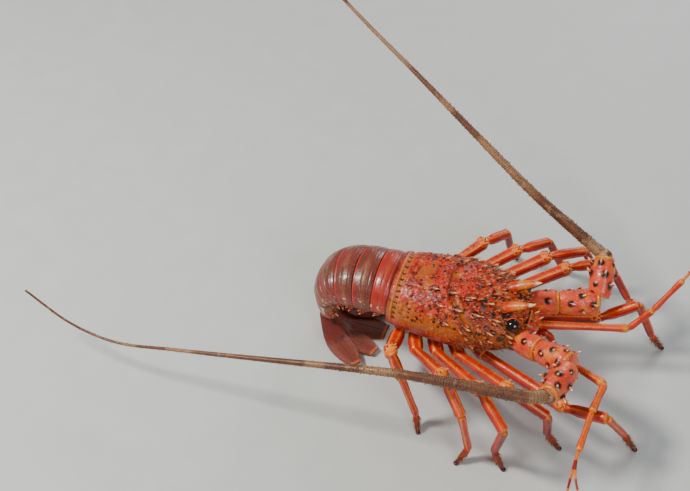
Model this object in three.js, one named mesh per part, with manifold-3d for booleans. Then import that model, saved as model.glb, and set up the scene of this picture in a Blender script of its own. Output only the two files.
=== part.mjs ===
// Spiny lobster at life size, standing on its legs and its tucked tail fan.
// Millimetres, +Z up, head towards +X. The body is laid out with x = 0 at the rear edge of the
// carapace, y = 0 on the midline (left is +Y) and z = 0 on the floor, and is moved to its origin last.
import * as THREE from "three";
import { mergeVertices } from "three/addons/utils/BufferGeometryUtils.js";
import Module from "manifold-3d";

const library = await Module();
library.setup();

// Driving sizes
const CARAPACE_LENGTH = 90;
const GAP = 0.3;
const HIP_HEIGHT = 30;
const COXA_LENGTH = 12;
const FOOT_RADIUS = 1.5;
const FOOT_EDGE = 1.2;
const EYE_RADIUS = 4.7;
const PLEOPOD_HALF_THICKNESS = 0.6;
const WHIP_SPLIT = 0.4;
const FLAGELLUM_ROOT = 4.3;
const FLAGELLUM_TIP = 0.8;
const SPINE_SIDES = 4;
const TUBE_SIDES = 8;
const UPWARDS = new THREE.Vector3(0, 0, 1);
const DOWNWARDS = new THREE.Vector3(0, 0, -1);
const SIDEWAYS = new THREE.Vector3(0, 1, 0);

// Carapace outline, each pair a place x along the body and a size there
const CARAPACE_HALF_WIDTH = [[0, 27], [15, 30], [45, 32.5], [68, 29], [82, 24], [90, 19]];
const CARAPACE_TOP = [[0, 75], [15, 77.5], [45, 80], [68, 76], [82, 70], [90, 62]];
const CARAPACE_BOTTOM = [[0, 36], [45, 36], [68, 37], [82, 41], [90, 46]];
const CARAPACE_WIDEST = [[0, 54], [45, 55], [90, 54.5]];
const STERNUM_HALF_WIDTH = [[2, 19], [8, 20], [33, 16.5], [59, 9.5], [74, 5]];

// Somites from front to rear: length along the back, pitch below level, half width, arch height, side plate
const SOMITES = [
  { length: 13, pitch: 2, half: 26, arch: 22, plate: 8 },
  { length: 16, pitch: 8, half: 26, arch: 22, plate: 10 },
  { length: 16, pitch: 22, half: 25.5, arch: 20.5, plate: 9 },
  { length: 16, pitch: 45, half: 25, arch: 18.5, plate: 8 },
  { length: 16, pitch: 75, half: 24, arch: 16.5, plate: 7 },
  { length: 18, pitch: 104, half: 21, arch: 14, plate: 4 },
];

// Leg pairs from front to rear: hip place, lengths of merus, carpus, propodus and dactyl
const LEG_PAIRS = {
  1: { hip: [59, 11], merus: 69, carpus: 28, propodus: 46, dactyl: 16 },
  2: { hip: [46, 14.5], merus: 69, carpus: 28, propodus: 44, dactyl: 16 },
  3: { hip: [33, 18], merus: 68, carpus: 28, propodus: 42, dactyl: 15 },
  4: { hip: [20, 20.5], merus: 60, carpus: 26, propodus: 40, dactyl: 14 },
  5: { hip: [8, 22], merus: 50, carpus: 24, propodus: 37, dactyl: 13 },
};
// Pose of each leg: azimuth outwards from straight ahead and rise of the merus, foot on the floor,
// and the way the dactyl points
const LEG_POSES = {
  left: {
    1: { azimuth: 14, rise: 6, foot: [184, 54], point: 10 },
    2: { azimuth: 35, rise: 16, foot: [162, 86], point: 30 },
    3: { azimuth: 37, rise: 17, foot: [140, 99], point: 40 },
    4: { azimuth: 40, rise: 18, foot: [107, 105], point: 50 },
    5: { azimuth: 46, rise: 23, foot: [66, 106], point: 65 },
  },
  right: {
    1: { azimuth: 28, rise: 9, foot: [178, 38], point: 5 },
    2: { azimuth: 46, rise: 30, foot: [131, 54], point: 0 },
    3: { azimuth: 50, rise: 30, foot: [100, 82], point: 25 },
    4: { azimuth: 55, rise: 35, foot: [70, 88], point: 130 },
    5: { azimuth: 76, rise: 48, foot: [40, 74], point: 60 },
  },
};

// Antennae: the base place, each segment's azimuth, rise and length, and the whip's route on from it
const ANTENNAE = {
  left: {
    base: [87, 17, 53],
    segments: [[17, 4, 20], [17, 4, 27], [98, 42, 28]],
    whip: [[120, 59, 78], [74, 76, 96], [23, 99, 118], [-27, 122, 140], [-78, 146, 161],
      [-126, 168, 184], [-170, 186, 210], [-208, 200, 240]],
  },
  right: {
    base: [87, -17, 53],
    segments: [[-30, 20, 20], [-30, 20, 26], [-107, 5, 28]],
    whip: [[105, -76, 76], [60, -82, 76], [27, -85, 74], [-9, -88, 68], [-70, -92, 55],
      [-124, -94, 42], [-172, -95, 31], [-208, -92, 33], [-243, -87, 48]],
  },
};
const ANTENNULES = {
  left: { base: [98, 7, 45], segments: [[17, 0, 60], [30, 50, 21], [45, 50, 28]], lash: [70, 70] },
  right: { base: [98, -7, 45], segments: [[-33, 14, 60], [-100, -8, 21], [-95, -8, 28]], lash: [-80, -6] },
};

// Smooth curve through chosen pairs of place and value
function through(pairs, place) {
  const last = pairs.length - 1;
  let i = pairs.findIndex(([p]) => place <= p);
  i = i < 0 ? last : Math.max(i, 1);
  const slope = (k) => {
    const a = pairs[Math.max(k - 1, 0)];
    const b = pairs[Math.min(k + 1, last)];
    return (b[1] - a[1]) / (b[0] - a[0]);
  };
  const [p0, v0] = pairs[i - 1];
  const [p1, v1] = pairs[i];
  const span = p1 - p0;
  const t = (place - p0) / span;
  const rise = v1 - v0;
  const c = slope(i - 1) * span;
  const d = slope(i) * span;
  return v0 + c * t + (3 * rise - 2 * c - d) * t * t + (c + d - 2 * rise) * t * t * t;
}

function vector(list) {
  return new THREE.Vector3(...list);
}

// Unit vector from an azimuth and a rise in degrees
function heading(azimuth, rise) {
  const a = THREE.MathUtils.degToRad(azimuth);
  const e = THREE.MathUtils.degToRad(rise);
  return new THREE.Vector3(Math.cos(a) * Math.cos(e), Math.sin(a) * Math.cos(e), Math.sin(e));
}

function range(count) {
  return Array.from({ length: count }, (_, k) => k);
}

// Closed body over a list of rings with the same number of points, with its faces outwards
function loft(rings) {
  const count = rings[0].length;
  const points = rings.flat();
  const faces = [];
  for (const r of range(rings.length - 1)) {
    for (const k of range(count)) {
      const a = r * count + k;
      const b = r * count + ((k + 1) % count);
      faces.push(a, b, a + count, b, b + count, a + count);
    }
  }
  const caps = [[rings[0], 0, true], [rings.at(-1), points.length - count, false]];
  for (const [ring, start, flip] of caps) {
    const middle = ring.reduce((sum, p) => sum.add(p), new THREE.Vector3()).divideScalar(count);
    const hub = points.push(middle) - 1;
    for (const k of range(count)) {
      const pair = [start + k, start + ((k + 1) % count)];
      faces.push(hub, ...(flip ? pair.reverse() : pair));
    }
  }
  const geometry = new THREE.BufferGeometry();
  geometry.setAttribute("position", new THREE.Float32BufferAttribute(points.flatMap((p) => p.toArray()), 3));
  geometry.setIndex(volume(points, faces) < 0 ? faces.reverse() : faces);
  return geometry;
}

function volume(points, faces) {
  let sum = 0;
  for (let k = 0; k < faces.length; k += 3) {
    const [a, b, c] = [points[faces[k]], points[faces[k + 1]], points[faces[k + 2]]];
    sum += a.dot(b.clone().cross(c));
  }
  return sum;
}

// Round body along stations of place, half width and half height; hinge is the sideways direction
function tube(stations, hinge, sides = TUBE_SIDES) {
  const last = stations.length - 1;
  return loft(stations.map(({ at, wide, high, along }, i) => {
    const before = stations[Math.max(i - 1, 0)].at;
    const after = stations[Math.min(i + 1, last)].at;
    const way = along ?? after.clone().sub(before).normalize();
    const side = hinge.clone().addScaledVector(way, -hinge.dot(way)).normalize();
    const over = way.clone().cross(side);
    return range(sides).map((k) => {
      const a = (2 * Math.PI * k) / sides;
      return at.clone().addScaledVector(side, wide * Math.cos(a)).addScaledVector(over, high * Math.sin(a));
    });
  }));
}

// Stations along a straight segment; a profile row is a fraction, half width and half height
function segment(from, to, profile, grow = 0) {
  return profile.map(([f, wide, high = wide]) => (
    { at: from.clone().lerp(to, f), wide: wide + grow, high: high + grow }));
}

function solid(geometry) {
  const bare = geometry.clone();
  bare.deleteAttribute("normal");
  bare.deleteAttribute("uv");
  const merged = mergeVertices(bare, 1e-4);
  return new library.Manifold(new library.Mesh({
    numProp: 3,
    vertProperties: new Float32Array(merged.attributes.position.array),
    triVerts: new Uint32Array(merged.index.array),
  }));
}

function fromSolid(body) {
  const mesh = body.getMesh();
  const geometry = new THREE.BufferGeometry();
  geometry.setAttribute("position", new THREE.BufferAttribute(new Float32Array(mesh.vertProperties), 3));
  geometry.setIndex(Array.from(mesh.triVerts));
  return geometry;
}

function joined(first, others) {
  return fromSolid(others.reduce((body, other) => body.add(solid(other)), solid(first)));
}

// What is left of a body after others are taken out of it, without loose slivers
function cut(first, others) {
  const rest = others.reduce((body, other) => body.subtract(solid(other)), solid(first));
  return fromSolid(rest.decompose().reduce((a, b) => (b.volume() > a.volume() ? b : a)));
}

// Spine standing on a surface at a place, leaning along a direction
function spine(place, direction, length, radius) {
  const way = direction.clone().normalize();
  const cone = new THREE.ConeGeometry(radius * 1.15, length + radius, SPINE_SIDES);
  cone.applyQuaternion(new THREE.Quaternion().setFromUnitVectors(new THREE.Vector3(0, 1, 0), way));
  const middle = place.clone().addScaledVector(way, (length - radius) / 2);
  return cone.translate(middle.x, middle.y, middle.z);
}

// Carapace: a place on its skin at x and at an angle from the left side over the back
function carapacePoint(x, angle) {
  const half = through(CARAPACE_HALF_WIDTH, x);
  const mid = through(CARAPACE_WIDEST, x);
  const c = Math.cos(angle);
  const s = Math.sin(angle);
  const reach = s > 0 ? through(CARAPACE_TOP, x) - mid : mid - through(CARAPACE_BOTTOM, x);
  const power = s > 0 ? 0.95 : 0.65;
  return new THREE.Vector3(
    x,
    half * Math.sign(c) * Math.abs(c) ** 0.9,
    mid + reach * Math.sign(s) * Math.abs(s) ** power,
  );
}

function carapaceShell() {
  const places = [0, 8, 20, 33, 46, 58, 68, 76, 83, CARAPACE_LENGTH];
  const sides = 24;
  return loft(places.map((x) => range(sides).map((k) => carapacePoint(x, (2 * Math.PI * k) / sides))));
}

// Large spines of the carapace in rows from the midline outwards
function carapaceSpines() {
  const rows = [
    { angle: 66, places: [28, 40, 52, 64] },
    { angle: 46, places: [34, 46, 58, 70, 80] },
    { angle: 24, places: [40, 54, 68, 80] },
  ];
  const list = [];
  for (const side of [1, -1]) {
    for (const { angle, places } of rows) {
      for (const x of places) {
        const turn = THREE.MathUtils.degToRad(side > 0 ? angle : 180 - angle);
        const place = carapacePoint(x, turn);
        const lean = new THREE.Vector3(1.1, Math.cos(turn), Math.sin(turn));
        list.push(spine(place, lean, 3 + x * 0.03, 1.7));
      }
    }
  }
  return list;
}

function eyeBall(side, grow = 0) {
  const ball = new THREE.SphereGeometry(EYE_RADIUS + grow, 12, 8);
  return ball.translate(83, side * 17.5, 66);
}

function horn(side, grow = 0) {
  const row = (x, y, z, r) => (
    { at: new THREE.Vector3(x, side * y, z), wide: r + grow, high: r * 0.9 + grow });
  return tube([
    row(72, 9, 68.5, 4.4), row(77, 9.2, 72.5, 4.2), row(82, 9.6, 76, 3.5),
    row(87, 9.9, 78.8, 2.5), row(91, 10, 81, 1.4), row(94, 9.8, 83, 0.4),
  ], SIDEWAYS);
}

function sternum() {
  const places = [2, 8, 20, 33, 46, 59, 74];
  return loft(places.map((x) => {
    const half = through(STERNUM_HALF_WIDTH, x);
    return [[1, 35.6], [1, 30], [0.75, 26], [0, 24.5], [-0.75, 26], [-1, 30], [-1, 35.6]]
      .map(([f, z]) => new THREE.Vector3(x, half * f, z));
  }));
}

// Plate in front between the horns and over the mouth that carries the antennules
function antennularPlate() {
  const rings = [[90.4, 9, 46, 60], [94, 8, 46, 58], [97.5, 6, 47, 54]];
  return loft(rings.map(([x, half, low, high]) => (
    [[1, low], [1, high - 3], [0.5, high], [-0.5, high], [-1, high - 3], [-1, low]]
      .map(([f, z]) => new THREE.Vector3(x, half * f, z)))));
}

// Joints of an antenna or antennule from its base on
function jointsOf({ base, segments }) {
  const joints = [vector(base)];
  for (const [azimuth, rise, length] of segments) {
    joints.push(joints.at(-1).clone().addScaledVector(heading(azimuth, rise), length));
  }
  return joints;
}

// The three heavy segments of an antenna
const PEDUNCLE_PROFILES = [
  [[0, 7.2, 7], [0.3, 8.6, 7.8], [1, 8.2, 7.6]],
  [[0, 7.6, 7], [0.2, 8.6, 7.8], [0.7, 9.2, 8.2], [1, 8, 7.2]],
  [[0, 7.4, 6.6], [0.2, 8.8, 7.8], [0.6, 9.2, 8.2], [1, 6.2, 5.8]],
];

function peduncleEnds(side, index) {
  const joints = jointsOf(ANTENNAE[side]);
  const from = joints[index];
  const to = joints[index + 1];
  const way = to.clone().sub(from).normalize();
  const start = from.clone().addScaledVector(way, index === 2 ? 6 : GAP);
  return [start, index === 2 ? to.clone().addScaledVector(way, 3) : to];
}

function peduncleSegment(side, index, grow = 0) {
  const [from, to] = peduncleEnds(side, index);
  return tube(segment(from, to, PEDUNCLE_PROFILES[index], grow), UPWARDS, 12);
}

// Spines in rows round the far end of a peduncle segment
function peduncleSpines(side, index) {
  const [from, to] = peduncleEnds(side, index);
  const way = to.clone().sub(from).normalize();
  const over = UPWARDS.clone().addScaledVector(way, -UPWARDS.dot(way)).normalize();
  const list = [];
  const rows = index === 1 ? [[0.4, [40, 140]], [0.75, [90]]] : [[0.45, [40, 140]], [0.8, [0, 90, 180]]];
  for (const [f, turns] of rows) {
    for (const turn of turns) {
      const out = over.clone().applyAxisAngle(way, THREE.MathUtils.degToRad(turn - 90));
      const place = from.clone().lerp(to, f).addScaledVector(out, 7.8);
      list.push(spine(place, out.clone().addScaledVector(way, 0.8), 3.6, 1.8));
    }
  }
  return list;
}

// Whip of an antenna as two lengths, split at a fraction of its route
function whipLengths(side) {
  const end = peduncleEnds(side, 2)[1];
  const curve = new THREE.CatmullRomCurve3([end, ...ANTENNAE[side].whip.map(vector)], false, "centripetal");
  const stationsBetween = (start, stop, count) => range(count + 1).map((k) => {
    const f = start + ((stop - start) * k) / count;
    const radius = FLAGELLUM_TIP + (FLAGELLUM_ROOT - FLAGELLUM_TIP) * (1 - f) ** 1.9;
    return { at: curve.getPointAt(f), wide: radius, high: radius };
  });
  return [stationsBetween(0.004, WHIP_SPLIT - 0.001, 10), stationsBetween(WHIP_SPLIT + 0.001, 1, 11)];
}

function antennulePeduncle(side) {
  const joints = jointsOf(ANTENNULES[side]);
  const stations = [
    ...segment(joints[0], joints[1], [[0, 2.4], [0.1, 2.9], [0.85, 2.6], [0.97, 2.9]]),
    ...segment(joints[1], joints[2], [[0.08, 2.4], [0.5, 2.1], [0.92, 2.5]]),
    ...segment(joints[2], joints[3], [[0.06, 2.1], [0.5, 1.8], [1, 2.2]]),
  ];
  return tube(stations, UPWARDS, 6);
}

function antennuleLashes(side) {
  const [azimuth, rise] = ANTENNULES[side].lash;
  const joints = jointsOf(ANTENNULES[side]);
  const way = joints[3].clone().sub(joints[2]).normalize();
  const root = joints[3].clone().addScaledVector(way, GAP);
  const lash = (turn, length) => {
    const far = heading(azimuth + turn, rise);
    return tube(range(7).map((k) => {
      const f = k / 6;
      const at = root.clone().addScaledVector(way, length * f * (1 - f)).addScaledVector(far, length * f * f);
      return { at: at.addScaledVector(way, 1), wide: 1 - 0.6 * f, high: 1 - 0.6 * f };
    }), UPWARDS, 5);
  };
  const ends = [0, 3].map((d) => ({ at: root.clone().addScaledVector(way, d), wide: 1.7, high: 1.7 }));
  const stem = tube(ends, UPWARDS, 6);
  return joined(stem, [lash(-9, 62), lash(14, 48)]);
}

// Joints of a leg: hip, ischium, crown of the merus, wrist, ankle and foot on the floor
function legJoints(side, pair) {
  const sign = side === "left" ? 1 : -1;
  const sizes = LEG_PAIRS[pair];
  const pose = LEG_POSES[side][pair];
  const hip = new THREE.Vector3(sizes.hip[0], sign * sizes.hip[1], HIP_HEIGHT);
  const ischium = hip.clone().addScaledVector(heading(sign * (pose.azimuth + 15), 5), COXA_LENGTH);
  const crown = ischium.clone().addScaledVector(heading(sign * pose.azimuth, pose.rise), sizes.merus);
  const foot = new THREE.Vector3(pose.foot[0], sign * pose.foot[1], 0);
  const ankle = foot.clone().addScaledVector(heading(sign * pose.point, -52), -sizes.dactyl);
  const reach = ankle.clone().sub(crown);
  const span = Math.min(reach.length(), (sizes.carpus + sizes.propodus) * 0.999);
  const along = (sizes.carpus ** 2 - sizes.propodus ** 2 + span ** 2) / (2 * span);
  const bulge = Math.sqrt(Math.max(sizes.carpus ** 2 - along ** 2, 0));
  const way = reach.clone().normalize();
  const out = new THREE.Vector3(pose.foot[0] - sizes.hip[0], sign * (pose.foot[1] - sizes.hip[1]), 40);
  out.addScaledVector(way, -out.dot(way)).normalize();
  const wrist = crown.clone().addScaledVector(way, along).addScaledVector(out, bulge);
  return { hip, ischium, crown, wrist, ankle, foot };
}

const MERUS_PROFILE = [[0.06, 3.7, 3.8], [0.2, 3.5, 3.8], [0.6, 4, 4.5], [0.93, 4.3, 5], [0.985, 3.9, 4.3]];

function legHinge({ hip, foot }) {
  return new THREE.Vector3(foot.y - hip.y, hip.x - foot.x, 0).normalize();
}

function meralTube(joints, grow = 0) {
  const away = joints.ischium.clone().sub(joints.hip).normalize();
  const start = joints.hip.clone().addScaledVector(away, 2.6);
  return tube([
    ...segment(start, joints.ischium, [[0, 4.2, 4], [0.4, 4.9, 4.4]], grow),
    ...segment(joints.ischium, joints.crown, MERUS_PROFILE, grow),
  ], legHinge(joints));
}

// Coxa, ischium and merus in one, with the spines of the crown
function upperLeg(side, pair) {
  const joints = legJoints(side, pair);
  const hinge = legHinge(joints);
  const way = joints.crown.clone().sub(joints.ischium).normalize();
  const over = way.clone().cross(hinge).multiplyScalar(way.clone().cross(hinge).z < 0 ? -1 : 1);
  const crownSpines = [-1, 0, 1].map((turn) => {
    const out = over.clone().addScaledVector(hinge, turn * 0.9).normalize();
    const place = joints.ischium.clone().lerp(joints.crown, 0.94).addScaledVector(out, 3.8);
    return spine(place, out.clone().addScaledVector(way, 1.2), 3.2, 1.2);
  });
  return joined(meralTube(joints), crownSpines);
}

function lowerLeg(side, pair) {
  const joints = legJoints(side, pair);
  const way = joints.wrist.clone().sub(joints.crown).normalize();
  const start = joints.crown.clone().addScaledVector(way, 2.6);
  const tip = joints.foot.clone().addScaledVector(joints.ankle.clone().sub(joints.foot).normalize(), 1);
  const edge = FOOT_RADIUS * 1.1;
  const stations = [
    ...segment(start, joints.wrist, [[0, 2.6, 2.9], [0.25, 3.5, 3.9], [0.9, 3.3, 3.7]]),
    ...segment(joints.wrist, joints.ankle, [[0.05, 2.5, 2.8], [0.5, 2.4, 2.9], [0.97, 2.3, 2.5]]),
    ...segment(joints.ankle, tip, [[0.4, 1.9, 2.1]]),
    { at: joints.foot.clone().setZ(FOOT_EDGE), wide: edge, high: edge, along: DOWNWARDS },
    { at: joints.foot, wide: FOOT_RADIUS, high: FOOT_RADIUS, along: DOWNWARDS },
  ];
  return cut(tube(stations, legHinge(joints)), [meralTube(joints, GAP)]);
}

// Third maxilliped, folded under the mouth
function maxilliped(side) {
  const row = (x, y, z, r) => ({ at: new THREE.Vector3(x, side * y, z), wide: r, high: r });
  return tube([
    row(76, 5.5, 32, 3), row(84, 6.5, 33, 3.4), row(96, 7.5, 36, 3.2),
    row(104, 7.5, 38, 2.6), row(109, 6.5, 33, 2.2), row(106, 6, 26, 1.6),
  ], SIDEWAYS);
}

// Frames down the back of the abdomen: a place on the back, the way rearwards and the way inwards
function backFrames() {
  let place = new THREE.Vector3(-GAP, 0, 74.6);
  const pitches = SOMITES.map(({ pitch }) => pitch);
  return range(SOMITES.length + 1).map((i) => {
    if (i > 0) {
      place = place.clone().addScaledVector(heading(180, -pitches[i - 1]), SOMITES[i - 1].length);
    }
    const before = pitches[Math.max(i - 1, 0)];
    const after = pitches[Math.min(i, pitches.length - 1)];
    const pitch = i === 0 ? 0 : (before + after) / 2;
    return { place, way: heading(180, -pitch), inward: heading(180, -pitch - 90) };
  });
}

// Section of a somite: an arch over the back, the side plates, and the soft underside
function somiteRing(place, inward, half, arch, plate) {
  const outline = range(13).map((k) => {
    const a = (Math.PI * k) / 12;
    return [half * Math.cos(a), arch * (1 - Math.sin(a) ** 0.9)];
  });
  const hem = [[0.93, 0.6], [0.84, 1], [0.7, 0.5], [0.35, 0]];
  outline.push(...hem.map(([y, drop]) => [-half * y, arch + plate * drop]));
  outline.push(...hem.reverse().map(([y, drop]) => [half * y, arch + plate * drop]));
  return outline.map(([y, depth]) => place.clone().addScaledVector(inward, depth).setY(y));
}

function somite(index) {
  const { half, arch, plate } = SOMITES[index];
  const frames = backFrames();
  const start = frames[index];
  const stop = frames[index + 1];
  const next = SOMITES[Math.min(index + 1, SOMITES.length - 1)];
  const places = [[0.01, 0.35, 0.6], [0.3, 0.8, 0.1], [0.72, 1, 0], [0.985, 0.55, 0.7]];
  const rings = places.map(([f, drop, dip]) => {
    const at = start.place.clone().lerp(stop.place, f);
    const inward = start.inward.clone().lerp(stop.inward, f).normalize();
    const bow = Math.sin(Math.PI * f) * 1.2 - dip * 0.6;
    at.addScaledVector(inward, -bow);
    const size = (key) => THREE.MathUtils.lerp(SOMITES[index][key], (SOMITES[index][key] + next[key]) / 2, f);
    return somiteRing(at, inward, size("half"), size("arch"), Math.max(plate, 2) * drop);
  });
  const body = loft(rings);
  if (index < 1 || index > 4) {
    return body;
  }
  const middle = start.place.clone().lerp(stop.place, 0.5);
  const inward = start.inward.clone().add(stop.inward).normalize();
  return joined(body, [1, -1].map((side) => pleopod(middle, inward, stop.way, side, half, arch)));
}

// Swimmeret: a thin leaf that hangs from the underside near the side plate
function pleopod(middle, inward, way, side, half, arch) {
  const root = middle.clone().addScaledVector(inward, arch - 2).setY(side * half * 0.42);
  const hang = inward.clone().addScaledVector(way, -0.35).normalize();
  const length = arch > 18 ? 10 : 7;
  const rows = [[0, 2], [0.45, 3.7], [1, 2]];
  const stations = rows.map(([f, wide]) => (
    { at: root.clone().addScaledVector(hang, f * length), wide, high: PLEOPOD_HALF_THICKNESS }));
  return tube(stations, SIDEWAYS, 6);
}

// Tail fan: the telson and four side blades, tucked forwards with their backs down
const FAN_ROOT = [-53.5, 19.5];
const FAN_LEVEL = -32;

function fanBlade({ root, turn, length, halves, lift, thick }) {
  const heightOf = (x) => {
    const f = THREE.MathUtils.clamp((x - FAN_ROOT[0]) / (FAN_LEVEL - FAN_ROOT[0]), 0, 1);
    return lift + FAN_ROOT[1] * (1 - f) ** 2;
  };
  const way = heading(turn, 0);
  const side = heading(turn + 90, 0);
  return loft(halves.map((half, k) => {
    const f = k / (halves.length - 1);
    const at = vector([root[0], root[1], 0]).addScaledVector(way, length * f);
    const low = heightOf(at.x);
    return [[1, 0], [1, thick * 0.6], [0.4, thick], [-0.4, thick], [-1, thick * 0.6], [-1, 0]]
      .map(([across, up]) => at.clone().addScaledVector(side, across * half).setZ(low + up));
  }));
}

const BLADE_HALVES = [3, 5.5, 7.6, 8.6, 8.8, 8.2, 6.6, 3.6];
const TELSON_HALVES = [8.5, 9.6, 9, 8.8, 9, 9.4, 9, 6.5];
const INNER_BLADE = { length: 45, halves: BLADE_HALVES, lift: 2.2, thick: 1.4 };
const OUTER_BLADE = { length: 43, halves: BLADE_HALVES, lift: 4.2, thick: 1.4 };
const FAN_BLADES = {
  telson: { root: [-53.5, 0], turn: 0, length: 47, halves: TELSON_HALVES, lift: 0, thick: 1.6 },
  uropod_inner_left: { root: [-51, 8], turn: 17, ...INNER_BLADE },
  uropod_inner_right: { root: [-51, -8], turn: -17, ...INNER_BLADE },
  uropod_outer_left: { root: [-51, 12], turn: 36, ...OUTER_BLADE },
  uropod_outer_right: { root: [-51, -12], turn: -36, ...OUTER_BLADE },
};

// Colours of the finishes
const FINISHES = {
  carapace: { color: 0xa8452a, roughness: 0.5 },
  abdomen: { color: 0x7b4440, roughness: 0.45 },
  leg: { color: 0xc4552c, roughness: 0.45 },
  peduncle: { color: 0xd0705c, roughness: 0.5 },
  whip: { color: 0x7a5138, roughness: 0.6 },
  horn: { color: 0xc86038, roughness: 0.4 },
  eye: { color: 0x14100f, roughness: 0.1 },
};

const lobster = new THREE.Group();

function add(name, geometry, finish) {
  const bare = geometry.index ? geometry.toNonIndexed() : geometry;
  bare.deleteAttribute("normal");
  bare.deleteAttribute("uv");
  const merged = mergeVertices(bare, 1e-4);
  merged.computeVertexNormals();
  const mesh = new THREE.Mesh(merged, new THREE.MeshStandardMaterial({ ...FINISHES[finish], metalness: 0 }));
  mesh.name = name;
  lobster.add(mesh);
}

function addHead() {
  const hollows = [1, -1].flatMap((side) => [horn(side, GAP), eyeBall(side, GAP)]);
  const bases = ["left", "right"].map((side) => peduncleSegment(side, 0, GAP));
  add("carapace", cut(joined(carapaceShell(), carapaceSpines()), [...hollows, ...bases]), "carapace");
  add("sternum", sternum(), "leg");
  add("antennular_plate", cut(antennularPlate(), bases), "carapace");
  for (const [side, sign] of [["left", 1], ["right", -1]]) {
    add(`horn_${side}`, horn(sign), "horn");
    add(`eye_${side}`, eyeBall(sign), "eye");
    add(`maxilliped_${side}`, maxilliped(sign), "leg");
  }
}

function addFeelers() {
  for (const side of ["left", "right"]) {
    ["base", "middle", "end"].forEach((part, index) => {
      const spines = index === 0 ? [] : peduncleSpines(side, index);
      const whole = joined(peduncleSegment(side, index), spines);
      const before = index === 0 ? [] : [peduncleSegment(side, index - 1, GAP)];
      add(`antenna_${side}_${part}`, cut(whole, before), "peduncle");
    });
    const [inner, outer] = whipLengths(side);
    add(`whip_${side}_inner`, cut(tube(inner, UPWARDS), [peduncleSegment(side, 2, GAP)]), "whip");
    add(`whip_${side}_outer`, tube(outer, UPWARDS, 6), "whip");
    add(`antennule_${side}`, antennulePeduncle(side), "leg");
    add(`antennule_${side}_lashes`, antennuleLashes(side), "whip");
  }
}

function addLegs() {
  for (const side of ["left", "right"]) {
    for (const pair of [1, 2, 3, 4, 5]) {
      add(`leg_${side}_${pair}_upper`, upperLeg(side, pair), "leg");
      add(`leg_${side}_${pair}_lower`, lowerLeg(side, pair), "leg");
    }
  }
}

function addTail() {
  SOMITES.forEach((_, index) => add(`abdomen_${index + 1}`, somite(index), "abdomen"));
  for (const [name, blade] of Object.entries(FAN_BLADES)) {
    add(name, fanBlade(blade), "abdomen");
  }
}

addHead();
addFeelers();
addLegs();
addTail();

// The origin is under the middle of the whole animal, on the floor
const box = new THREE.Box3().setFromObject(lobster);
const middle = box.getCenter(new THREE.Vector3());
lobster.position.set(-middle.x, -middle.y, -box.min.z);
lobster.updateMatrixWorld(true);

export default lobster;
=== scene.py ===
# The looks of a spiny lobster, a still life-size model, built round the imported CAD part.
# The shapes are worked out in millimetres in the lobster's own frame: x forward from the rear edge
# of the carapace, y to its left, z up from the floor. addPiece moves them to the frame of the row.
import math

import bpy
import numpy as np
from mathutils import Euler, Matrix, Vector


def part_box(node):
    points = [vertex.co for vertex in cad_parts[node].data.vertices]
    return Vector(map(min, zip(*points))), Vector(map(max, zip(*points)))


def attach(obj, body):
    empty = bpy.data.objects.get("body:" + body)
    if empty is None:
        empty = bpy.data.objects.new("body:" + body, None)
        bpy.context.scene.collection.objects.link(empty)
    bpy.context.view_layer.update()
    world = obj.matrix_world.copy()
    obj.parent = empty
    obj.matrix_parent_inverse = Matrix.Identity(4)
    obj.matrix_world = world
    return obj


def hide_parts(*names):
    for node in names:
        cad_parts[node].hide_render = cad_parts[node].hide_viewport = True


bpy.ops.wm.read_factory_settings(use_empty=True)
scene = bpy.context.scene
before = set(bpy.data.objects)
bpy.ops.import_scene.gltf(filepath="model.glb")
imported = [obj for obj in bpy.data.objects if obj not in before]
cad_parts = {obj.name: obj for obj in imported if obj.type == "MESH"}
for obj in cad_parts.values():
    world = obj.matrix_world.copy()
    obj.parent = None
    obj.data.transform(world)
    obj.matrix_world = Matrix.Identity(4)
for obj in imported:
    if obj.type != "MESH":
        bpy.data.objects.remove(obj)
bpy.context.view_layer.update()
sternumRear = 2  # the sternum starts this far forward of the carapace's rear edge
sternumLow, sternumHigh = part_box("sternum")
shift = np.array([sternumLow.x * 1000 - sternumRear, (sternumLow.y + sternumHigh.y) * 500, 0])
print("frame loaded")

up = np.array([0.0, 0.0, 1.0])
sideways = np.array([0.0, 1.0, 0.0])
sides = {"left": 1, "right": -1}
# Masks for the shells' paint. Besides the shell's own colours, the dark mask also carries painted shade
# under the legs, antennules, horns and antenna bases, and the accent mask a painted highlight along the tops
# of the legs and antennules.
maskNames = ("darkAndShade", "accentAndHighlight", "pale", "tip", "pitted")
rng = np.random.default_rng(20)


# Numbers and curves

# Smooth curve through pairs of place and value
def through(pairs, place):
    xs = np.array([p for p, _ in pairs], float)
    vs = np.array([v for _, v in pairs], float)
    place = np.asarray(place, float)
    i = np.clip(np.searchsorted(xs, place), 1, len(xs) - 1)
    slope = np.empty(len(xs))
    slope[1:-1] = (vs[2:] - vs[:-2]) / (xs[2:] - xs[:-2])
    slope[0] = (vs[1] - vs[0]) / (xs[1] - xs[0])
    slope[-1] = (vs[-1] - vs[-2]) / (xs[-1] - xs[-2])
    span = xs[i] - xs[i - 1]
    t = (place - xs[i - 1]) / span
    rise = vs[i] - vs[i - 1]
    c = slope[i - 1] * span
    d = slope[i] * span
    return vs[i - 1] + c * t + (3 * rise - 2 * c - d) * t * t + (c + d - 2 * rise) * t ** 3


# The same for rows of several values, spaced by the distance between their first three
def pathThrough(rows, count):
    rows = np.array(rows, float)
    steps = np.linalg.norm(np.diff(rows[:, :3], axis=0), axis=1)
    place = np.concatenate([[0], np.cumsum(steps)]) / steps.sum()
    f = np.linspace(0, 1, count)
    return f, np.stack([through(list(zip(place, rows[:, k])), f) for k in range(rows.shape[1])], -1)


def heading(azimuth, rise):
    a = math.radians(azimuth)
    e = math.radians(rise)
    return np.array([math.cos(a) * math.cos(e), math.sin(a) * math.cos(e), math.sin(e)])


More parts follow.
